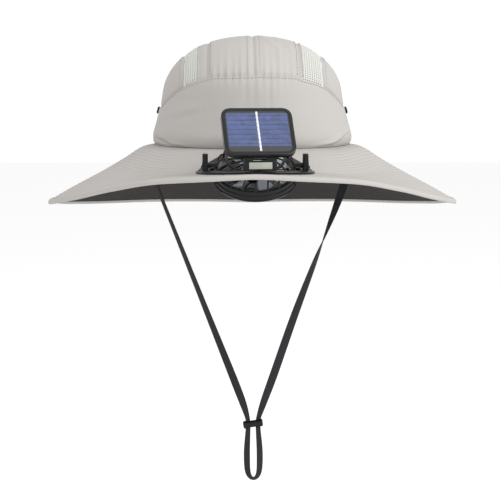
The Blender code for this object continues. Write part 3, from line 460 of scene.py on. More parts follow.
def curved_value(rows, place, column=1):
    """The value at a place on a smooth curve through the rows."""
    slopes = [(b[column] - a[column]) / (b[0] - a[0]) for a, b in zip(rows, rows[1:])]
    ends = [slopes[0]]
    for before, after in zip(slopes, slopes[1:]):
        ends.append(2 * before * after / (before + after) if before * after > 0 else 0.0)
    ends.append(slopes[-1])
    place = min(max(place, rows[0][0]), rows[-1][0])
    for i, (low, high) in enumerate(zip(rows, rows[1:])):
        if place <= high[0]:
            span = high[0] - low[0]
            s = (place - low[0]) / span
            rise = (1 + 2 * s) * (1 - s) ** 2 * low[column] + s * s * (3 - 2 * s) * high[column]
            return rise + (s * (1 - s) ** 2 * ends[i] - s * s * (1 - s) * ends[i + 1]) * span
    return rows[-1][column]


def smooth_step(low, high, value):
    share = min(max((value - low) / (high - low), 0.0), 1.0)
    return share * share * (3 - 2 * share)


def ripple(place, seed):
    """A slow wave without a plain period, from -1 to 1."""
    return (math.sin(place + seed) + 0.6 * math.sin(1.7 * place + 2.3 * seed)
            + 0.4 * math.sin(2.9 * place + 4.1 * seed)) / 2.0


# Crown surface

SQUARE_STEPS = 2000
CROWN_ROWS = tuple((height, share * share) for height, share in CROWN_PROFILE)
CROWN_SQUARES = [curved_value(CROWN_ROWS, i / SQUARE_STEPS) for i in range(SQUARE_STEPS + 1)]
SEAM_HEIGHTS = [curved_value(ARCH_SEAM, i / 8) * CROWN_HEIGHT for i in range(721)]


def crown_square(z):
    place = min(max(z / CROWN_HEIGHT, 0.0), 1.0) * SQUARE_STEPS
    i = min(int(place), SQUARE_STEPS - 1)
    return CROWN_SQUARES[i] + (CROWN_SQUARES[i + 1] - CROWN_SQUARES[i]) * (place - i)


def crown_point(azimuth, z):
    share = math.sqrt(max(crown_square(z), 0.0))
    angle = math.radians(azimuth)
    return Vector((CROWN_HALF_WIDTH * share * math.sin(angle),
                   -CROWN_HALF_LENGTH * share * math.cos(angle), z))


def crown_normal(point):
    step = CROWN_HEIGHT / 400
    low = min(max(point.z, step), CROWN_HEIGHT - step)
    change = (crown_square(low + step) - crown_square(low - step)) / (2 * step)
    return Vector((2 * point.x / CROWN_HALF_WIDTH ** 2, 2 * point.y / CROWN_HALF_LENGTH ** 2,
                   -change)).normalized()


def azimuth_of(point):
    return math.degrees(math.atan2(point.x / CROWN_HALF_WIDTH, -point.y / CROWN_HALF_LENGTH))


def seam_height(azimuth):
    turn = abs((azimuth + 180.0) % 360.0 - 180.0)
    turn = 180.0 - turn if turn > 90.0 else turn
    return SEAM_HEIGHTS[round(turn * 8)]


def crown_relief(point):
    """How far the cloth stands out: gathers at the seam, folds, and slow unevenness."""
    above = point.z - seam_height(azimuth_of(point))
    height = 0.0
    for x, rise, half, up, down in GATHERS:
        away = (point.x * (1 if point.y < 0 else -1) - x) / half
        if abs(away) < FOLD_REACH:
            height += rise * math.exp(-away * away - abs(above) / (up if above > 0 else down))
    for side, x, z, lean, half_length, half_width, rise in CROWN_FOLDS:
        if side * point.y < 0:
            continue
        dx, dz = point.x - x, point.z - z
        c, s = math.cos(math.radians(lean)), math.sin(math.radians(lean))
        along, across = (dz * c + dx * s) / half_length, (dx * c - dz * s) / half_width
        if abs(along) < FOLD_REACH and abs(across) < FOLD_REACH:
            height += rise * math.exp(-along * along - across * across)
    slow = ripple(point.x * 70 + point.z * 30, 0.4) * ripple(point.z * 110 + point.y * 40, 1.9)
    return height + UNEVENNESS * slow


def last_inside(low, high, inside, halvings):
    """The two sides of the place where a test that holds at the low end stops holding."""
    for _ in range(halvings):
        middle = (low + high) / 2
        low, high = (middle, high) if inside(middle) else (low, middle)
    return low, high


def crown_ray(base, way):
    """Where a line from low in the crown's middle meets its plain surface."""
    def inside(reach):
        x, y, z = base + way * reach
        return z < CROWN_HEIGHT and ((x / CROWN_HALF_WIDTH) ** 2
                                     + (y / CROWN_HALF_LENGTH) ** 2) < crown_square(z)

    return base + way * last_inside(0.0, 3.0, inside, 26)[0]


SECTION_STARTS = {}


def crown_section(x, share):
    """A point of the crown in the plane of x, from the front seam (0) over the top to the back (1)."""
    base = Vector((x, 0.0, SECTION_BASE * CROWN_HEIGHT))

    def at(angle):
        return crown_ray(base, Vector((0.0, -math.cos(angle), math.sin(angle))) * 0.1)

    def below_seam(angle):
        point = at(angle)
        return point.z < seam_height(azimuth_of(point))

    key = round(x, 6)
    if key not in SECTION_STARTS:
        SECTION_STARTS[key] = last_inside(0.0, math.pi / 2, below_seam, 24)[1]
    start = SECTION_STARTS[key]
    return at(start + (math.pi - 2 * start) * share)


def seam_dip(*distances):
    """How far the cloth dips, from its distances to the seams around it."""
    return cloth().seam_depth * math.exp(-(min(distances) / cloth().seam_reach) ** 2)


def crown_cloth_point(point, *distances):
    normal = crown_normal(point)
    return point + normal * (crown_relief(point) - seam_dip(*distances))


def vent_seam(side, share):
    """The wavy outer seam of a mesh vent."""
    wave = VENT_WAVE * math.sin(VENT_WAVES * share + (0.6 if side > 0 else 2.2))
    return VENT_OUTER_SEAM + wave * math.sin(math.pi * share)


# Brim surface

def brim_axes(share, ahead):
    base = CROWN_PROFILE[0][1]
    inner_width = CROWN_HALF_WIDTH * base - CROWN_CLOTH
    inner_length = CROWN_HALF_LENGTH * base - CROWN_CLOTH
    outer_length = BRIM_FRONT if ahead else BRIM_BACK
    return (inner_width + (BRIM_HALF_WIDTH - inner_width) * share,
            inner_length + (outer_length - inner_length) * share)


def brim_point(azimuth, share):
    angle = math.radians(azimuth)
    width, depth = brim_axes(share, math.cos(angle) > 0)
    x, y = width * math.sin(angle), -depth * math.cos(angle)
    turn = abs((azimuth + 180.0) % 360.0 - 180.0)
    front = 1.0 - smooth_step(FRONT_SHAPE_FULL, FRONT_SHAPE_NONE, turn)
    away = math.hypot(x - FAN_PIVOT.x, y - FAN_PIVOT.y)
    near = 1.0 - smooth_step(FAN_SHAPE_FULL, FAN_SHAPE_NONE, away)
    if turn < NOSE_ROUNDING:
        turn = turn * turn * (2.0 - turn / NOSE_ROUNDING) / NOSE_ROUNDING
    fall = 0.0
    for column, weight in ((1, 1.0 - front), (2, front)):
        smooth = curved_value(BRIM_FALL, share, column)
        straight = straight_value(BRIM_FALL, share, column)
        fall += weight * (smooth + (straight - smooth) * near)
    return Vector((x, y, -curved_value(BRIM_EDGE, turn) * BRIM_DROP * fall))


# Mesh making

def clear_selection():
    if bpy.context.object is not None and bpy.context.object.mode != "OBJECT":
        bpy.ops.object.mode_set(mode="OBJECT")
    bpy.ops.object.select_all(action="DESELECT")


def named(name):
    made = bpy.context.active_object
    made.name = made.data.name = name
    return made


def use(obj):
    clear_selection()
    obj.select_set(True)
    bpy.context.view_layer.objects.active = obj


def linked(name, data):
    made = bpy.data.objects.new(name, data)
    bpy.context.scene.collection.objects.link(made)
    return made


def apply_modifiers(obj):
    use(obj)
    for modifier in list(obj.modifiers):
        bpy.ops.object.modifier_apply(modifier=modifier.name)


def edit_all(obj, operator, **settings):
    """Run a mesh operator on the whole of an object."""
    use(obj)
    bpy.ops.object.mode_set(mode="EDIT")
    bpy.ops.mesh.select_all(action="SELECT")
    operator(**settings)
    bpy.ops.object.mode_set(mode="OBJECT")


def weld(obj):
    edit_all(obj, bpy.ops.mesh.remove_doubles, threshold=WELD)


def recalculate(obj):
    edit_all(obj, bpy.ops.mesh.normals_make_consistent, inside=False)


@contextmanager
def opened(mesh):
    """A mesh opened for changes, which are written back at the end."""
    bm = bmesh.new()
    bm.from_mesh(mesh)
    yield bm
    bm.to_mesh(mesh)
    bm.free()


def face_outwards(obj, facing):
    """Turn all faces round if most of them look away from the given direction."""
    total = sum(face.normal.dot(facing(face.center)) * face.area for face in obj.data.polygons)
    if total < 0:
        edit_all(obj, bpy.ops.mesh.flip_normals)


def joined(pieces, name):
    """One object from several, in place of the last of them."""
    use(pieces[-1])
    for piece in pieces:
        piece.select_set(True)
    bpy.ops.object.join()
    return named(name)


def wall(obj, thickness):
    solid = obj.modifiers.new("Wall", "SOLIDIFY")
    solid.thickness = thickness
    solid.offset = -1.0
    apply_modifiers(obj)


def give(obj, *finishes):
    obj.data.materials.clear()
    for finish in finishes:
        obj.data.materials.append(finish)


def hand_over(obj, body, node):
    """Say which body carries a piece, which solid it stands for, if any."""
    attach(obj, body)
    if node:
        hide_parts(node)


def finished(obj, angle, finish, body, node):
    """Smooth a piece, give it the material that is passed, if any, and hand it over."""
    use(obj)
    bpy.ops.object.shade_smooth_by_angle(angle=math.radians(angle))
    if finish:
        give(obj, finish)
    hand_over(obj, body, node)


def cloth_grid(name, columns, rows, place, size, facing=None, closed=False):
    """A grid laid on a surface. Its UV map is in metres along the cloth."""
    clear_selection()
    bpy.ops.mesh.primitive_grid_add(x_subdivisions=columns, y_subdivisions=rows, size=1.0)
    made = named(name)
    mesh = made.data
    for vert in mesh.vertices:
        vert.co = place(min(max(vert.co.x + 0.5, 0.0), 1.0), min(max(vert.co.y + 0.5, 0.0), 1.0))
    for spot in mesh.uv_layers.active.data:
        spot.uv = (spot.uv[0] * size[0], spot.uv[1] * size[1])
    mesh.update()
    if closed:
        weld(made)
    if facing:
        face_outwards(made, facing)
    return made


def turned(name, profile, segments, matrix):
    """A shape turned round its own Z. Profile rows are height and radius, and close at radius 0."""
    rows = len(profile) - 1

    def place(u, v):
        height, radius = profile[round(v * rows)]
        angle = 2 * math.pi * u
        return matrix @ Vector((radius * math.cos(angle), radius * math.sin(angle), height))

    made = cloth_grid(name, segments, rows, place, (1.0, 1.0), closed=True)
    recalculate(made)
    return made


def rounded_box(angle, power, other_power):
    """A point of a circle drawn out towards a square, from -1 to 1 each way."""
    c, s = math.cos(angle), math.sin(angle)
    return math.copysign(abs(c) ** power, c), math.copysign(abs(s) ** other_power, s)


def stitch_run(name, points):
    """Sewing stitches along a line of (point, normal) places."""
    values = cloth()
    thick = values.thread_width
    spans = [(b[0] - a[0]).length for a, b in zip(points, points[1:])]
    total = sum(spans)
    count = int(total / values.stitch_pitch)
    done, index = 0.0, 0
    bm = bmesh.new()
    for number in range(count):
        goal = (number + 0.5) * total / count
        while index < len(spans) - 1 and done + spans[index] < goal:
            done += spans[index]
            index += 1
        share = (goal - done) / spans[index]
        (a, na), (b, nb) = points[index], points[index + 1]
        normal = na.lerp(nb, share).normalized()
        along = (b - a).normalized()
        across = normal.cross(along).normalized()
        centre = a.lerp(b, share) + normal * thick * STITCH_RISE
        rings = []
        for place, size, dip in STITCH_SHAPE:
            middle = centre + along * place * values.stitch - normal * thick * dip
            half = thick / 2 * size
            turns = (2 * math.pi * k / STITCH_SIDES for k in range(STITCH_SIDES))
            rings.append([bm.verts.new(middle + (across * math.cos(t) + normal * math.sin(t)) * half)
                          for t in turns])
        for one, two in zip(rings, rings[1:]):
            for k in range(STITCH_SIDES):
                after = (k + 1) % STITCH_SIDES
                bm.faces.new((one[k], one[after], two[after], two[k]))
        bm.faces.new(list(reversed(rings[0])))
        bm.faces.new(rings[-1])
    bmesh.ops.recalc_face_normals(bm, faces=bm.faces)
    mesh = bpy.data.meshes.new(name)
    bm.to_mesh(mesh)
    bm.free()
    made = linked(name, mesh)
    mesh.shade_smooth()
    give(made, shared("Thread", plastic_material, values.thread, 0.7))
    hand_over(made, "hat", None)


def softened(node, name, finish, body, edge=None):
    """A copy of a hard solid with its edges rounded, in place of it."""
    mesh = bpy.data.objects[node].data.copy()
    made = linked(name, mesh)
    mesh.name = name
    with opened(mesh) as bm:
        bmesh.ops.remove_doubles(bm, verts=bm.verts, dist=WELD)
        bmesh.ops.dissolve_limit(bm, angle_limit=math.radians(1.0), verts=bm.verts, edges=bm.edges)
    bevel = made.modifiers.new("Rounding", "BEVEL")
    bevel.width = hard().edge_round if edge is None else edge
    bevel.segments = 2
    bevel.limit_method = "ANGLE"
    bevel.angle_limit = math.radians(EDGE_ANGLE)
    apply_modifiers(made)
    finished(made, EDGE_ANGLE, finish, body, node)


# Material making

def feed(tree, socket, value):
    """Set a socket, or link another node's output to it."""
    if isinstance(value, bpy.types.NodeSocket):
        tree.links.new(value, socket)
    else:
        socket.default_value = value


def add_node(tree, kind, inputs):
    """A new node, with its inputs set or linked by label or number."""
    node = tree.nodes.new(kind)
    for label, value in inputs.items():
        feed(tree, node.inputs[label], value)
    return node


def calc(tree, operation, *values, clamp=False):
    node = add_node(tree, "ShaderNodeMath", dict(enumerate(values)))
    node.operation = operation
    node.use_clamp = clamp
    return node.outputs[0]


class Maths:
    """The math nodes of a tree. A call adds the node of that name and gives its output."""

    def __init__(self, tree):
        self.tree = tree

    def __getattr__(self, name):
        return partial(calc, self.tree, name.upper())


def group_tree(name, inputs, outputs):
    """An empty group: inputs with their default, or None for a vector, and number outputs."""
    tree = bpy.data.node_groups.new(name, "ShaderNodeTree")
    for label, value in inputs.items():
        kind = "NodeSocketVector" if value is None else "NodeSocketFloat"
        socket = tree.interface.new_socket(name=label, in_out="INPUT", socket_type=kind)
        if value is not None:
            socket.default_value = value
    for label in outputs:
        tree.interface.new_socket(name=label, in_out="OUTPUT", socket_type="NodeSocketFloat")
    given, out = tree.nodes.new("NodeGroupInput"), tree.nodes.new("NodeGroupOutput")
    return tree, given.outputs, out.inputs


def split(tree, vector):
    return add_node(tree, "ShaderNodeSeparateXYZ", {0: vector}).outputs


def noise(tree, vector, scale, detail=3.0, rough=0.5, stretch=None):
    if stretch:
        vector = add_node(tree, "ShaderNodeMapping", {"Scale": stretch, "Vector": vector}).outputs[0]
    return add_node(tree, "ShaderNodeTexNoise", {"Scale": scale, "Detail": detail,
                                                 "Roughness": rough, "Vector": vector}).outputs["Fac"]


def weave_group():
    """Plain weave from a map in metres: yarns over and under each other, with painted shade between
    the yarns.
    """
    tree, given, out = group_tree("Cloth Weave", {"Map": None, "Pitch": 0.0006}, ("Height", "Shade"))
    m = Maths(tree)
    u, v, _ = split(tree, given["Map"])
    height = m.multiply(*(m.sine(m.multiply(m.divide(place, given["Pitch"]), math.pi))
                          for place in (u, v)))
    fuzz = noise(tree, given["Map"], 900.0, 2.0)
    slub = noise(tree, given["Map"], 60.0, 3.0, stretch=(1.0, 14.0, 1.0))
    # The yarns' height lightens their crests and darkens the hollows between them: painted shade. Fuzz
    # and slubs are random tone.
    shade = m.add(m.multiply(height, 0.10), m.multiply(fuzz, 0.5))
    tree.links.new(height, out["Height"])
    tree.links.new(m.add(shade, m.multiply(slub, 0.5)), out["Shade"])
    return tree


def rows_group():
    """Sewn rows across the map's second direction: a mask of the thread."""
    tree, given, out = group_tree("Sewn Rows", {"Map": None, "Pitch": 0.0034, "Width": 0.25},
                                  ("Mask",))
    m = Maths(tree)
    u, v, _ = split(tree, given["Map"])
    away = m.absolute(m.subtract(m.fract(m.divide(v, given["Pitch"])), 0.5))
    near = m.subtract(1.0, m.divide(away, given["Width"]), clamp=True)
    dash = m.sine(m.multiply(u, 2 * math.pi / ROW_STITCH))
    dash = m.add(m.multiply(dash, 0.35), 0.65, clamp=True)
    tree.links.new(m.multiply(near, dash), out["Mask"])
    return tree


def grain_group():
    """Fine grain and slow unevenness of moulded plastic, on object coordinates."""
    tree, given, out = group_tree("Moulded Grain", {"Place": None}, ("Height", "Uneven"))
    tree.links.new(noise(tree, given["Place"], 1600.0, 2.0), out["Height"])
    tree.links.new(noise(tree, given["Place"], 90.0, 4.0), out["Uneven"])
    return tree


def place_group(tree, name, make, values):
    node = tree.nodes.new("ShaderNodeGroup")
    node.node_tree = bpy.data.node_groups.get(name) or make()
    for label, value in values.items():
        feed(tree, node.inputs[label], value)
    return node.outputs


def grain(tree):
    return place_group(tree, "Moulded Grain", grain_group, {"Place": coordinates(tree, "Object")})


def new_material(name, tint, roughness, metallic=0.0, **sockets):
    made = bpy.data.materials.new(name)
    made.use_nodes = True
    tree = made.node_tree
    shader = tree.nodes["Principled BSDF"]
    shader.inputs["Base Color"].default_value = (*tint, 1.0)
    shader.inputs["Roughness"].default_value = roughness
    shader.inputs["Metallic"].default_value = metallic
    for label, value in sockets.items():
        shader.inputs[label.replace("_", " ")].default_value = value
    made.diffuse_color = (*tint, 1.0)
    return made, tree, shader


def shared(name, make, *values, **more):
    """A material of which several pieces use the same one."""
    return bpy.data.materials.get(name) or make(name, *values, **more)


def coordinates(tree, kind):
    return tree.nodes.new("ShaderNodeTexCoord").outputs[kind]


def mixed(tree, shader, share, low, high):
    """Base colour between two colours or outputs, by a share."""
    node = tree.nodes.new("ShaderNodeMix")
    node.data_type = "RGBA"
    for number, value in zip(MIX_INPUTS, (share, low, high)):
        feed(tree, node.inputs[number], value)
    tree.links.new(node.outputs[MIX_OUTPUT], shader.inputs["Base Color"])
    return node.outputs[MIX_OUTPUT]


def tinted(tree, shader, tint, shade, strength):
    """Base colour, lighter and darker by a shade that lies around a half."""
    dark = (channel * (1 - strength) for channel in tint)
    light = (min(channel * (1 + strength), 1.0) for channel in tint)
    return mixed(tree, shader, shade, (*dark, 1.0), (*light, 1.0))


def bumped(tree, shader, height, distance, strength):
    bump = add_node(tree, "ShaderNodeBump", {"Distance": distance, "Strength": strength,
                                             "Height": height})
    tree.links.new(bump.outputs["Normal"], shader.inputs["Normal"])


def cloth_material(name, tint, strength=0.06, rows=None, row_tint=None, pitch=None):
    """Woven cloth, with stitched rows where rows gives their pitch."""
    made, tree, shader = new_material(name, tint, 0.9, Specular_IOR_Level=0.2)
    m = Maths(tree)
    place = coordinates(tree, "UV")
    weave = place_group(tree, "Cloth Weave", weave_group,
                        {"Map": place, "Pitch": pitch or cloth().weave_pitch})
    mottle = noise(tree, coordinates(tree, "Object"), 22.0, 3.0)
    # The weave's shade holds painted shade between the yarns; the mottle is random tone
    shade = m.add(m.multiply(weave["Shade"], 0.5), m.multiply(mottle, 0.5))
    base = tinted(tree, shader, tint, shade, strength)
    height = weave["Height"]
    if rows:
        mask = place_group(tree, "Sewn Rows", rows_group, {"Map": place, "Pitch": rows})["Mask"]
        mixed(tree, shader, m.multiply(mask, 0.55), base, (*row_tint, 1.0))
        height = m.subtract(height, m.multiply(mask, 1.5))
    bumped(tree, shader, height, 0.00006, 0.7)
    return made


def plastic_material(name, tint, roughness=0.32, coat=0.0):
    made, tree, shader = new_material(name, tint, roughness, Coat_Weight=coat, Coat_Roughness=0.08,
                                      Specular_IOR_Level=0.28)
    height, uneven = grain(tree)
    tree.links.new(Maths(tree).multiply_add(uneven, 0.18, roughness - 0.09),
                   shader.inputs["Roughness"])
    tinted(tree, shader, tint, uneven, 0.25)
    bumped(tree, shader, height, 0.00002, 0.35)
    return made


def metal_material(name, tint):
    made, tree, shader = new_material(name, tint, 0.28, 1.0)
    height, uneven = grain(tree)
    tree.links.new(Maths(tree).multiply_add(uneven, 0.2, 0.18), shader.inputs["Roughness"])
    bumped(tree, shader, height, 0.00001, 0.3)
    return made


def tape_material(name, tint):
    """Flat woven tape: slanting ribs across a map in metres, with painted shade in the grooves between
    them.
    """
    made, tree, shader = new_material(name, tint, 0.75, Specular_IOR_Level=0.3)
    m = Maths(tree)
    u, v, _ = split(tree, coordinates(tree, "UV"))
    slant = m.add(u, m.multiply(m.pingpong(v, TAPE_RIB_TURN), 0.8))
    ribs = m.multiply_add(m.sine(m.multiply(slant, 2 * math.pi / TAPE_RIB_PITCH)), 0.5, 0.5)
    fuzz = noise(tree, coordinates(tree, "Object"), 1200.0, 2.0)
    # The ribs' relief also sets the colour, darker in the grooves: painted shade. The fuzz is random
    # tone.
    shade = m.add(m.multiply(ribs, 0.6), m.multiply(fuzz, 0.4))
    tinted(tree, shader, tint, shade, 0.45)
    bumped(tree, shader, shade, 0.00012, 0.8)
    return made


def cell_material(name, tint):
    """Blue cell under clear resin: crystal patches, streaks and dark lines, in a black border."""
    made, tree, shader = new_material(name, tint, 0.22, Coat_Weight=1.0, Coat_Roughness=0.03)
    m = Maths(tree)
    place = coordinates(tree, "UV")
    u, v, _ = split(tree, place)
    patches = add_node(tree, "ShaderNodeTexVoronoi", {"Scale": 230.0, "Vector": place})
    grey = split(tree, patches.outputs["Color"])[0]
    streaks = noise(tree, place, 70.0, 4.0, 0.6, stretch=(1.0, 9.0, 1.0))
    shade = m.add(m.multiply(grey, 0.35), m.multiply(streaks, 0.9))
    base = tinted(tree, shader, tint, m.subtract(shade, 0.1, clamp=True), 0.55)
    wander = noise(tree, place, 45.0, 2.0, stretch=(1.0, 3.0, 1.0))
    pitch = (CELL_TOP - CELL_BOTTOM) / hard().cell_lines
    line = m.add(v, m.multiply(m.subtract(wander, 0.5), CELL_LINE_WANDER))
    line = m.absolute(m.subtract(m.fract(m.divide(m.subtract(line, CELL_BOTTOM), pitch)), 0.5))
    line = m.subtract(1.0, m.divide(line, CELL_LINE_SHARE), clamp=True)
    dark = (*(channel * 0.12 for channel in tint), 1.0)
    lined = mixed(tree, shader, m.multiply(line, 0.9), base, dark)
    wide = m.greater_than(m.absolute(u), CELL_SIDE)
    border = m.maximum(wide, m.maximum(m.greater_than(v, CELL_TOP), m.less_than(v, CELL_BOTTOM)))
    mixed(tree, shader, border, lined, CELL_BORDER_TINT)
    return made


# Camera and light

class HAT_OT_camera(bpy.types.Operator):
    """Add the camera at the photograph's angle"""
    bl_idname = "hat.camera"
    bl_label = "Camera"

    def execute(self, context):
        clear_selection()
        turn = (math.radians(CAMERA_PITCH), 0.0, math.radians(CAMERA_TURN))
        bpy.ops.object.camera_add(location=CAMERA_PLACE, rotation=turn)
        camera = named("view_camera")
        camera.data.lens = CAMERA_LENS
        camera.data.sensor_width = SENSOR_WIDTH
        camera.data.clip_start = 0.05
        context.scene.camera = camera
        return {"FINISHED"}


def area_light(name, place, target, size, power):
    clear_selection()
    way = Vector(target) - Vector(place)
    bpy.ops.object.light_add(type="AREA", location=place,
                             rotation=way.to_track_quat("-Z", "Y").to_euler())
    made = named(name)
    made.data.shape = "RECTANGLE"
    made.data.size, made.data.size_y = size
    made.data.energy = power


class HAT_OT_stage(bpy.types.Operator):
    """Add the pale floor, the white surroundings and the soft studio lights"""
    bl_idname = "hat.stage"
    bl_label = "Stage"

    def execute(self, context):
        values = context.scene.hat_stage
        clear_selection()
        bpy.ops.mesh.primitive_plane_add(size=FLOOR_SIZE, location=(0.0, 0.0, FLOOR_HEIGHT))
        floor = named("studio_floor")
        give(floor, new_material("Studio floor", values.floor, 0.8)[0])
        world = bpy.data.worlds.new("Studio")
        world.use_nodes = True
        background = world.node_tree.nodes["Background"]
        background.inputs["Color"].default_value = (1.0, 1.0, 1.0, 1.0)
        background.inputs["Strength"].default_value = values.world
        context.scene.world = world
        for name, place, target, size, power in LIGHTS:
            area_light(name, place, target, size, getattr(values, power))
        context.scene.view_settings.view_transform = "Standard"
        return {"FINISHED"}


# Chin strap

def smooth_route(rows, steps):
    """Rows between the given rows, on a curve that passes through them."""
    points = []
    last = len(rows) - 1
    for i in range(last):
        near = (rows[max(i - 1, 0)], rows[i], rows[i + 1], rows[min(i + 2, last)])
        for step in range(steps):
            t = step / steps
            points.append([0.5 * (2 * b + (c - a) * t + (2 * a - 5 * b + 4 * c - d) * t * t
                                  + (3 * b - a - 3 * c + d) * t ** 3) for a, b, c, d in zip(*near)])
    points.append(list(rows[-1]))
    return points


class HAT_OT_chin_strap(bpy.types.Operator):
    bl_idname = "hat.chin_strap"
    bl_label = "Chin strap"

    def execute(self, context):
        clear_selection()
        curve = bpy.data.curves.new("chin_strap_tape", "CURVE")
        curve.dimensions = "3D"
        curve.twist_mode = "MINIMUM"
        curve.bevel_depth = STRAP_THICKNESS / 2
        curve.extrude = (STRAP_WIDTH - STRAP_THICKNESS) / 2
        curve.bevel_resolution = 2
        curve.render_resolution_u = 0
        curve.use_fill_caps = True
        route = smooth_route(STRAP_ROUTE, STRAP_STEPS)
        spline = curve.splines.new("POLY")
        spline.points.add(len(route) - 1)
        for spot, (x, y, z, turn, share) in zip(spline.points, route):
            spot.co = (x, y, z, 1.0)
            spot.tilt = math.radians(turn)
            spot.radius = share
        use(linked("chin_strap_tape", curve))
        bpy.ops.object.convert(target="MESH")
        strap = named("chin_strap_tape")
        path = [Vector(row[:3]) for row in route]
        along = [0.0]
        for a, b in zip(path, path[1:]):
            along.append(along[-1] + (b - a).length)
        self.map_tape(strap.data, path, along)
        finished(strap, 50.0, tape_material("Woven tape", cloth().tape), "hat", "chin_strap")
        toggle = make_toggle()
        return {"FINISHED"}

    def map_tape(self, mesh, path, along):
        """UV map in metres: along the tape, and round its section."""
        ring = len(mesh.vertices) // len(path)
        while mesh.uv_layers:
            mesh.uv_layers.remove(mesh.uv_layers[0])
        layer = mesh.uv_layers.new(name="Tape")
        for loop in mesh.loops:
            row, place = divmod(loop.vertex_index, ring)
            row = min(row, len(path) - 1)
            side = (mesh.vertices[loop.vertex_index].co - path[row]).length
            layer.data[loop.index].uv = (along[row], side if place < ring / 2 else -side)


def middle_of(node):
    low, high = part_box(node)
    return (Vector(low) + Vector(high)) / 2


def make_toggle():
    """The barrel on the strap: round, with a raised rim at each end."""
    matrix = (Matrix.Translation(middle_of("cord_toggle"))
              @ Matrix.Rotation(math.radians(TOGGLE_TURN), 4, "Y"))
    end = [(step - TOGGLE_HALF, TOGGLE_RADIUS * share) for step, share in TOGGLE_END]
    waist = end[-1][0]
    rows = end + [(waist - 2 * waist * i / TOGGLE_STEPS, end[-1][1]) for i in range(1, TOGGLE_STEPS)]
    rows += [(-height, size) for height, size in reversed(end)]
    toggle = turned("toggle_barrel", rows, 40, matrix)
    finished(toggle, 50.0, plastic_material("Toggle plastic", hard().black, 0.36), "hat",
             "cord_toggle")
    return toggle


# Crown

def light_cloth():
    return shared("Light cloth", cloth_material, cloth().light)


def outwards(point):
    return Vector((point.x, point.y, max(point.z - 0.02, 0.0)))


def cloth_wall(piece, node, thickness, finish=None):
    wall(piece, thickness)
    finished(piece, 60.0, finish, "hat", node)


class HAT_OT_crown(bpy.types.Operator):
    """Model the side wall, the centre panels, the plain side panels and the vents"""
    bl_idname = "hat.crown"
    bl_label = "Crown"

    def execute(self, context):
        self.side_wall()
        for side, word in SIDES:
            self.centre_panel(side, word)
            self.side_panel(side, word)
            self.vent(side, word)
        return {"FINISHED"}

    def panel(self, name, node, grid, place, size, closed=False):
        piece = cloth_grid(name, *grid, place, size, outwards, closed)
        cloth_wall(piece, node, CROWN_CLOTH, light_cloth())

    def side_wall(self):
        def place(u, v):
            azimuth = 360.0 * u
            top = seam_height(azimuth)
            share = v ** BAND_ROW_POWER
            point = crown_point(azimuth, top * share)
            return crown_cloth_point(point, point.z, top * (1 - share))

        self.panel("side_wall", "crown_band", BAND_GRID, place, (0.60, 0.058), closed=True)

    def centre_panel(self, side, word):
        def place(u, v):
            x = side * CENTRE_PANEL_HALF_WIDTH * u
            point = crown_section(x, v)
            return crown_cloth_point(point, abs(x), CENTRE_PANEL_HALF_WIDTH - abs(x),
                                     CENTRE_LENGTH * v, CENTRE_LENGTH * (1 - v))

        self.panel("centre_panel_" + word, "crown_centre_" + word, CENTRE_GRID, place,
                   (0.040, 0.21))

    def side_panel(self, side, word):
        start = azimuth_of(crown_section(VENT_OUTER_SEAM, 0.0))
        base = Vector((0.0, 0.0, SECTION_BASE * CROWN_HEIGHT))

        def place(u, v):
            azimuth = start + (180.0 - 2 * start) * u
            low = crown_point(azimuth, seam_height(azimuth))
            high = crown_section(vent_seam(side, u), u)
            point = crown_ray(base, low.lerp(high, v) - base)
            gap = (high - low).length
            point.x *= side
            return crown_cloth_point(point, gap * v, gap * (1 - v))

        self.panel("side_panel_" + word, "crown_side_" + word, SIDE_GRID, place, (0.18, 0.04),
                   closed=True)

    def vent(self, side, word):
        """An open knit: a grid with a hole in each cell, plain along its inner edge."""
        def place(u, v):
            inner, outer = CENTRE_PANEL_HALF_WIDTH, vent_seam(side, v)
            x = inner + (outer - inner) * u
            point = crown_section(x, v)
            point.x *= side
            sunk = crown_cloth_point(point, x - inner, outer - x, VENT_SEAM_LENGTH * v,
                                     VENT_SEAM_LENGTH * (1 - v))
            return sunk - crown_normal(point) * VENT_SUNK

        vent = cloth_grid("vent_mesh_" + word, VENT_COLUMNS, VENT_ROWS, place,
                          (VENT_WIDTH, VENT_LENGTH), outwards)
        give(vent, shared("Knitted mesh", cloth_material, cloth().mesh, 0.10, pitch=0.0011),
             light_cloth())
        plain = VENT_PLAIN[side]
        with opened(vent.data) as bm:
            layer = bm.loops.layers.uv.active
            holes = []
            for face in bm.faces:
                middle = sum(loop[layer].uv.x for loop in face.loops) / 4
                column = int(middle / VENT_WIDTH * VENT_COLUMNS)
                face.material_index = 1 if column < plain else 0
                if column >= plain and 0 < column < VENT_COLUMNS - 1:
                    holes.append(face)
            bmesh.ops.inset_individual(bm, faces=holes, thickness=YARN_INSET, use_even_offset=True)
            bmesh.ops.delete(bm, geom=holes, context="FACES")
        rounding = vent.modifiers.new("Rounding", "SUBSURF")
        rounding.levels = rounding.render_levels = 1
        apply_modifiers(vent)
        cloth_wall(vent, "vent_" + word, VENT_CLOTH)


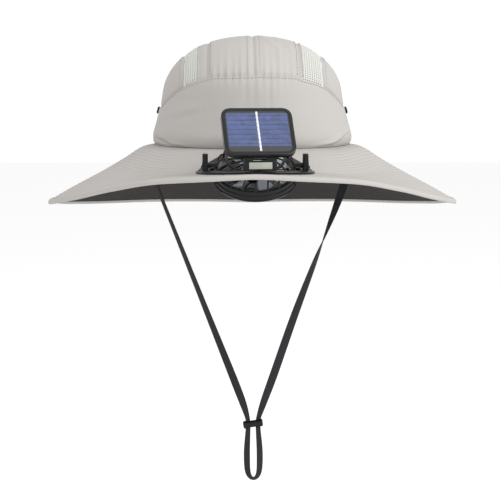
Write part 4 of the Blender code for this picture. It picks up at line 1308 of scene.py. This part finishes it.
class HAT_OT_crown_stitching(bpy.types.Operator):
    """Add the topstitching of the crown's seams"""
    bl_idname = "hat.crown_stitching"
    bl_label = "Crown stitching"

    def execute(self, context):
        for side, word in SIDES:
            for name, x in (("centre", CENTRE_STITCHING),
                            ("panel", CENTRE_PANEL_HALF_WIDTH - PANEL_STITCHING),
                            ("vent", CENTRE_PANEL_HALF_WIDTH + VENT_STITCHING[side])):
                line = [crown_section(x, 0.01 + 0.98 * i / SEAM_STEPS) for i in range(SEAM_STEPS + 1)]
                self.run("topstitch_%s_%s" % (name, word), line, side)
            line = [crown_section(vent_seam(side, i / SEAM_STEPS) + SIDE_STITCHING, i / SEAM_STEPS)
                    for i in range(3, SEAM_STEPS - 2)]
            self.run("topstitch_side_" + word, line, side)
        line = [crown_point(float(i), seam_height(float(i)) - ARCH_STITCHING) for i in range(361)]
        self.run("topstitch_arch", line, 1)
        return {"FINISHED"}

    def run(self, name, line, side):
        places = []
        for point in line:
            spot = Vector((point.x * side, point.y, point.z))
            normal = crown_normal(spot)
            places.append((spot + normal * crown_relief(spot), normal))
        stitch_run(name, places)


# Brim

class HAT_OT_brim(bpy.types.Operator):
    """Model both cloths of the brim and its rolled edge"""
    bl_idname = "hat.brim"
    bl_label = "Brim"

    def execute(self, context):
        values = cloth()
        self.layer("brim_cloth_top", "brim_top", 0.0, 1, BRIM_CLOTH, "light_cloth",
                   self.quilted("Quilted light cloth", values.light, 0.06, 0.62))
        self.layer("brim_cloth_under", "brim_underside", BRIM_CLOTH + CLOTH_GAP + UNDERSIDE_CLOTH, -1,
                   UNDERSIDE_CLOTH, "dark_cloth",
                   self.quilted("Quilted dark cloth", values.dark, 0.20, 2.3))
        self.binding()
        return {"FINISHED"}

    def quilted(self, name, tint, strength, row_shade):
        return cloth_material(name, tint, strength, cloth().quilt_pitch,
                              tuple(channel * row_shade for channel in tint))

    def layer(self, name, node, depth, side, thickness, slot, finish):
        values = cloth()
        last = 1.0 - BINDING_OVERLAP / BRIM_REACH

        def place(u, v):
            point = brim_point(360.0 * u, v * last)
            row = math.sin(math.pi * v * BRIM_REACH / values.quilt_pitch)
            point.z -= depth + side * values.quilt_depth * (1.0 - row * row)
            return point

        rows = round(BRIM_REACH / values.quilt_pitch * ROWS_PER_QUILTING)
        made = cloth_grid(name, BRIM_COLUMNS, rows, place, (BRIM_ROUND, BRIM_REACH),
                          lambda p: Vector((0, 0, side)), closed=True)
        self.cut_hole(made)
        cloth_wall(made, node, thickness, finish)

    def cut_hole(self, piece):
        """Open the cloth for the fan, with the edge of the hole drawn to a circle."""
        with opened(piece.data) as bm:
            inside = [face for face in bm.faces
                      if (face.calc_center_median().xy - FAN_PIVOT.xy).length < FAN_HOLE]
            edge = {vert for face in inside for vert in face.verts}
            bmesh.ops.delete(bm, geom=inside, context="FACES")
            for vert in edge:
                if vert.is_valid and vert.is_boundary:
                    way = vert.co.xy - FAN_PIVOT.xy
                    vert.co.xy = FAN_PIVOT.xy + way.normalized() * FAN_HOLE

    def binding(self):
        middle_drop = Vector((0, 0, (BRIM_CLOTH + UNDERSIDE_CLOTH + CLOTH_GAP) / 2))
        inner_share = 1.0 - BINDING_WIDTH / BRIM_REACH

        def place(u, v):
            outer, inner = brim_point(360.0 * u, 1.0), brim_point(360.0 * u, inner_share)
            centre = (outer + inner) / 2 - middle_drop
            across, height = rounded_box(2 * math.pi * v, 0.8, 0.75)
            pucker = 1.0 + 0.03 * ripple(u * 900.0, v * 2.0)
            return (centre + (outer - inner) * across / 2
                    + Vector((0, 0, height * BINDING_HEIGHT / 2 * pucker)))

        made = cloth_grid("rolled_edge", *BINDING_GRID, place, (BRIM_ROUND, BINDING_ROUND),
                          closed=True)
        recalculate(made)
        finished(made, 60.0, light_cloth(), "hat", "brim_binding")


class HAT_OT_brim_stitching(bpy.types.Operator):
    """Add the stitches along the rolled edge"""
    bl_idname = "hat.brim_stitching"
    bl_label = "Brim stitching"

    def execute(self, context):
        share = 1.0 - (BINDING_WIDTH + STITCH_MARGIN) / BRIM_REACH
        stitch_run("edge_stitches", [(brim_point(i / 2, share), Vector((0, 0, 1)))
                                     for i in range(721)])
        return {"FINISHED"}


# Snaps

class HAT_OT_snaps(bpy.types.Operator):
    """Model the black snap caps on the sides of the crown"""
    bl_idname = "hat.snaps"
    bl_label = "Snaps"

    def execute(self, context):
        finish = plastic_material("Snap plastic", hard().black, 0.30)
        for side, word in SIDES:
            centre = middle_of("snap_" + word)
            normal = crown_normal(crown_point(side * SNAP_AZIMUTH, centre.z))
            matrix = (Matrix.Translation(centre - normal * SNAP_SUNK)
                      @ normal.to_track_quat("Z", "Y").to_matrix().to_4x4())
            cap = turned("snap_cap_" + word, SNAP_PROFILE, 32, matrix)
            finished(cap, 50.0, finish, "hat", "snap_" + word)
        return {"FINISHED"}


# Fan and its frame

def housing_radius(height):
    """Outside of the rim, which widens downwards."""
    share = (height - HOUSING_BOTTOM) / (HOUSING_TOP - HOUSING_BOTTOM)
    return HOUSING_OUTER + (HOUSING_TOP_RADIUS - HOUSING_OUTER) * share


def fan_matrix():
    return Matrix.Translation(FAN_PIVOT) @ Matrix.Rotation(math.radians(FAN_TILT), 4, "X")


class HAT_OT_fan_frame(bpy.types.Operator):
    """Finish the flange with its posts, the clamp ring and the pivot screws"""
    bl_idname = "hat.fan_frame"
    bl_label = "Fan frame"

    def execute(self, context):
        plastic = plastic_material("Frame plastic", hard().black, 0.34)
        softened("fan_frame", "frame_moulding", plastic, "hat")
        softened("frame_clamp_ring", "clamp_ring_moulding", plastic, "hat")
        steel = metal_material("Plated steel", hard().steel)
        for _, word in SIDES:
            softened("pivot_screw_" + word, "screw_" + word, steel, "hat", 0.0002)
        return {"FINISHED"}


class HAT_OT_fan(bpy.types.Operator):
    """Model the tilting fan: rim, guards, motor, hub and blades"""
    bl_idname = "hat.fan"
    bl_label = "Fan"

    def execute(self, context):
        plastic = plastic_material("Fan plastic", hard().black, 0.30)
        self.rim(plastic)
        self.guard(plastic)
        softened("fan_back_grille", "fan_back_guard", plastic, "fan_unit", 0.0003)
        softened("fan_motor", "fan_motor_can", metal_material("Motor steel", hard().steel),
                 "fan_unit", 0.0003)
        # The blade colour holds a painted reflection of the studio light beside the blades' own
        # grey-blue
        softened("fan_rotor", "fan_blades", plastic_material("Blade plastic", hard().blade, 0.2, 0.6),
                 "fan_blades", 0.00015)
        return {"FINISHED"}

    def rib(self, heading):
        """One rib of the guard, which swirls out and then runs down the side."""
        def place(u, v):
            radius, height = (curved_value(GUARD_RIB, 100.0 * u, column) for column in (1, 2))
            ahead, rise = (curved_value(GUARD_RIB, 100.0 * u + 1.0, column)
                           - curved_value(GUARD_RIB, 100.0 * u - 1.0, column) for column in (1, 2))
            angle = heading + math.radians(GUARD_SWIRL) * (1.0 - radius / HOUSING_TOP_RADIUS)
            out = Vector((math.cos(angle), math.sin(angle), 0.0))
            side = Vector((-math.sin(angle), math.cos(angle), 0.0))
            up = (out * -rise + Vector((0.0, 0.0, ahead))).normalized()
            across, lift = rounded_box(2 * math.pi * v, 0.5, 0.5)
            centre = out * radius + Vector((0.0, 0.0, height)) - up * GUARD_RIB_THICKNESS / 2
            return fan_matrix() @ (centre + side * across * GUARD_RIB_WIDTH / 2
                                   + up * lift * GUARD_RIB_THICKNESS / 2)

        return cloth_grid("guard_rib", 28, 12, place, (1.0, 1.0), closed=True)

    def guard(self, finish):
        """The domed guard: swirling ribs and two whole rings."""
        pieces = [self.rib(2 * math.pi * index / GUARD_RIBS) for index in range(GUARD_RIBS)]
        for low, high in GUARD_RINGS:
            top, bottom = curved_value(GUARD_DOME, low), curved_value(GUARD_DOME, high)
            rise, thick = GUARD_RING_RISE, GUARD_RIB_THICKNESS
            rows = ((top, low), (top + rise, low + GUARD_RING_ROUND),
                    (bottom + rise, high - GUARD_RING_ROUND), (bottom, high),
                    (bottom - thick, high), (top - thick, low), (top, low))
            pieces.append(turned("guard_ring", rows, 96, fan_matrix()))
        guard = joined(pieces, "fan_guard")
        recalculate(guard)
        finished(guard, 40.0, finish, "fan_unit", "fan_grille")

    def rim(self, finish):
        """The flared rim with its fine grooves, and the two bosses that it tilts on."""
        low = HOUSING_BOTTOM + HOUSING_CHAMFER
        rows = [(HOUSING_BOTTOM, HOUSING_OUTER - HOUSING_WALL),
                (HOUSING_BOTTOM, HOUSING_OUTER - HOUSING_CHAMFER)]
        for i in range(RIM_STEPS + 1):
            height = low + (RIM_WALL_TOP - low) * i / RIM_STEPS
            wave = max(0.0, math.sin(math.pi * (height - low) / RIM_GROOVE_PITCH))
            rows.append((height, housing_radius(height) - RIM_GROOVE * wave ** 4))
        top = housing_radius(RIM_WALL_TOP)
        rows += [(RIM_WALL_TOP + RIM_LIP_RISE, top - RIM_LIP_INSET),
                 (RIM_WALL_TOP, top - HOUSING_WALL), rows[0]]
        rim = turned("fan_rim", rows, 128, fan_matrix())
        near, far = housing_radius(0.0) - HOUSING_WALL / 2, BOSS_END - BOSS_BORE_DEPTH
        shape = ((near, 0.0), (near, BOSS_RADIUS), (BOSS_END, BOSS_RADIUS), (BOSS_END, BOSS_BORE),
                 (far, BOSS_BORE), (far, 0.0))
        bosses = [turned("fan_boss", shape, 24,
                         fan_matrix() @ Matrix.Rotation(side * math.pi / 2, 4, "Y"))
                  for side, _ in SIDES]
        finished(joined([*bosses, rim], "fan_rim"), 40.0, finish, "fan_unit", "fan_housing")


# Solar panel

def panel_matrix():
    return (Matrix.Translation(PANEL_HINGE) @ Matrix.Rotation(math.radians(STAND_YAW), 4, "Z")
            @ Matrix.Rotation(math.radians(-PANEL_LEAN), 4, "X"))


def rounded_plate(name, half, low, high, corner, front, back):
    """A plate with round corners, facing -Y, made from a plane."""
    clear_selection()
    bpy.ops.mesh.primitive_plane_add(size=1.0)
    made = named(name)
    for vert in made.data.vertices:
        vert.co = (2 * half * vert.co.x, front, (low + high) / 2 + (high - low) * vert.co.y)
    bpy.ops.object.mode_set(mode="EDIT")
    bpy.ops.mesh.select_all(action="SELECT")
    bpy.ops.mesh.bevel(offset=corner, segments=8, affect="VERTICES")
    bpy.ops.mesh.extrude_region_move(TRANSFORM_OT_translate={"value": (0.0, back - front, 0.0)})
    bpy.ops.object.mode_set(mode="OBJECT")
    recalculate(made)
    return made


class HAT_OT_solar_panel(bpy.types.Operator):
    """Model the stand, the panel's tray, the cell and its white busbar"""
    bl_idname = "hat.solar_panel"
    bl_label = "Solar panel"

    def execute(self, context):
        plastic = plastic_material("Stand plastic", hard().black, 0.34)
        tray = plastic_material("Tray plastic", (0.006, 0.007, 0.007), 0.30, 0.25)
        softened("panel_yoke", "stand_moulding", plastic, "stand", 0.00025)
        softened("stand_plate", "bare_plate", plastic_material("Plate plastic", hard().plate, 0.5),
                 "stand", 0.0001)
        softened("hinge_pin", "hinge_pin_rod", metal_material("Blackened steel", (0.03, 0.03, 0.03)),
                 "stand", 0.0001)
        softened("panel_frame", "panel_tray", tray, "panel", 0.0007)
        self.cell()
        self.busbar()
        return {"FINISHED"}

    def cell(self):
        front = PANEL_FRONT + CELL_SUNK
        plate = rounded_plate("cell_plate", PANEL_HALF_WIDTH - CELL_MARGIN, PANEL_LOW + CELL_MARGIN,
                              PANEL_HIGH - CELL_MARGIN, CELL_CORNER, front, front + CELL_THICKNESS)
        mesh = plate.data
        layer = mesh.uv_layers.active or mesh.uv_layers.new(name="Panel")
        for loop in mesh.loops:
            x, _, z = mesh.vertices[loop.vertex_index].co
            layer.data[loop.index].uv = (x, z)
        mesh.transform(panel_matrix())
        finished(plate, 30.0, cell_material("Solar cell", hard().cell), "panel", "solar_cell")

    def busbar(self):
        low, high = PANEL_LOW + BUSBAR_MARGIN, PANEL_HIGH - BUSBAR_MARGIN

        def place(u, v):
            bead = 1.0 + 0.30 * ripple(v * 60.0, 0.7)
            lift = BUSBAR_HEIGHT * (1.0 - (2 * u - 1) ** 2) * bead
            return panel_matrix() @ Vector(((u - 0.5) * BUSBAR_WIDTH * bead,
                                            PANEL_FRONT + CELL_SUNK - lift, low + (high - low) * v))

        facing = panel_matrix().to_3x3() @ Vector((0, -1, 0))
        bar = cloth_grid("busbar", 6, 90, place, (0.002, 0.04), lambda p: facing)
        wall(bar, BUSBAR_SEAT)
        finished(bar, 60.0, plastic_material("Solder", (0.62, 0.62, 0.62), 0.3), "panel", None)


# Sidebar

STEPS = (HAT_OT_camera, HAT_OT_chin_strap, HAT_OT_crown, HAT_OT_crown_stitching, HAT_OT_brim,
         HAT_OT_brim_stitching, HAT_OT_snaps, HAT_OT_fan_frame, HAT_OT_fan, HAT_OT_solar_panel,
         HAT_OT_stage)
GROUPS = (("hat_cloth", HatClothSettings), ("hat_hard", HatHardSettings),
          ("hat_stage", HatStageSettings))


class HAT_PT_sidebar(bpy.types.Panel):
    """Sizes, colours and pieces of the hat"""
    bl_label = "Solar fan hat"
    bl_space_type = "VIEW_3D"
    bl_region_type = "UI"
    bl_category = "Hat"

    def draw(self, context):
        for label, group in GROUPS:
            box = self.layout.box()
            for name in group.__annotations__:
                box.prop(getattr(context.scene, label), name)
        for step in STEPS:
            self.layout.operator(step.bl_idname)


def register():
    for label, group in GROUPS:
        bpy.utils.register_class(group)
        setattr(bpy.types.Scene, label, PointerProperty(type=group))
    for step in (*STEPS, HAT_PT_sidebar):
        bpy.utils.register_class(step)


def unregister():
    for step in reversed((*STEPS, HAT_PT_sidebar)):
        bpy.utils.unregister_class(step)
    for label, group in reversed(GROUPS):
        delattr(bpy.types.Scene, label)
        bpy.utils.unregister_class(group)


def main():
    register()
    for step in STEPS:
        area, word = step.bl_idname.split(".")
        getattr(getattr(bpy.ops, area), word)()


if __name__ == "__main__":
    main()
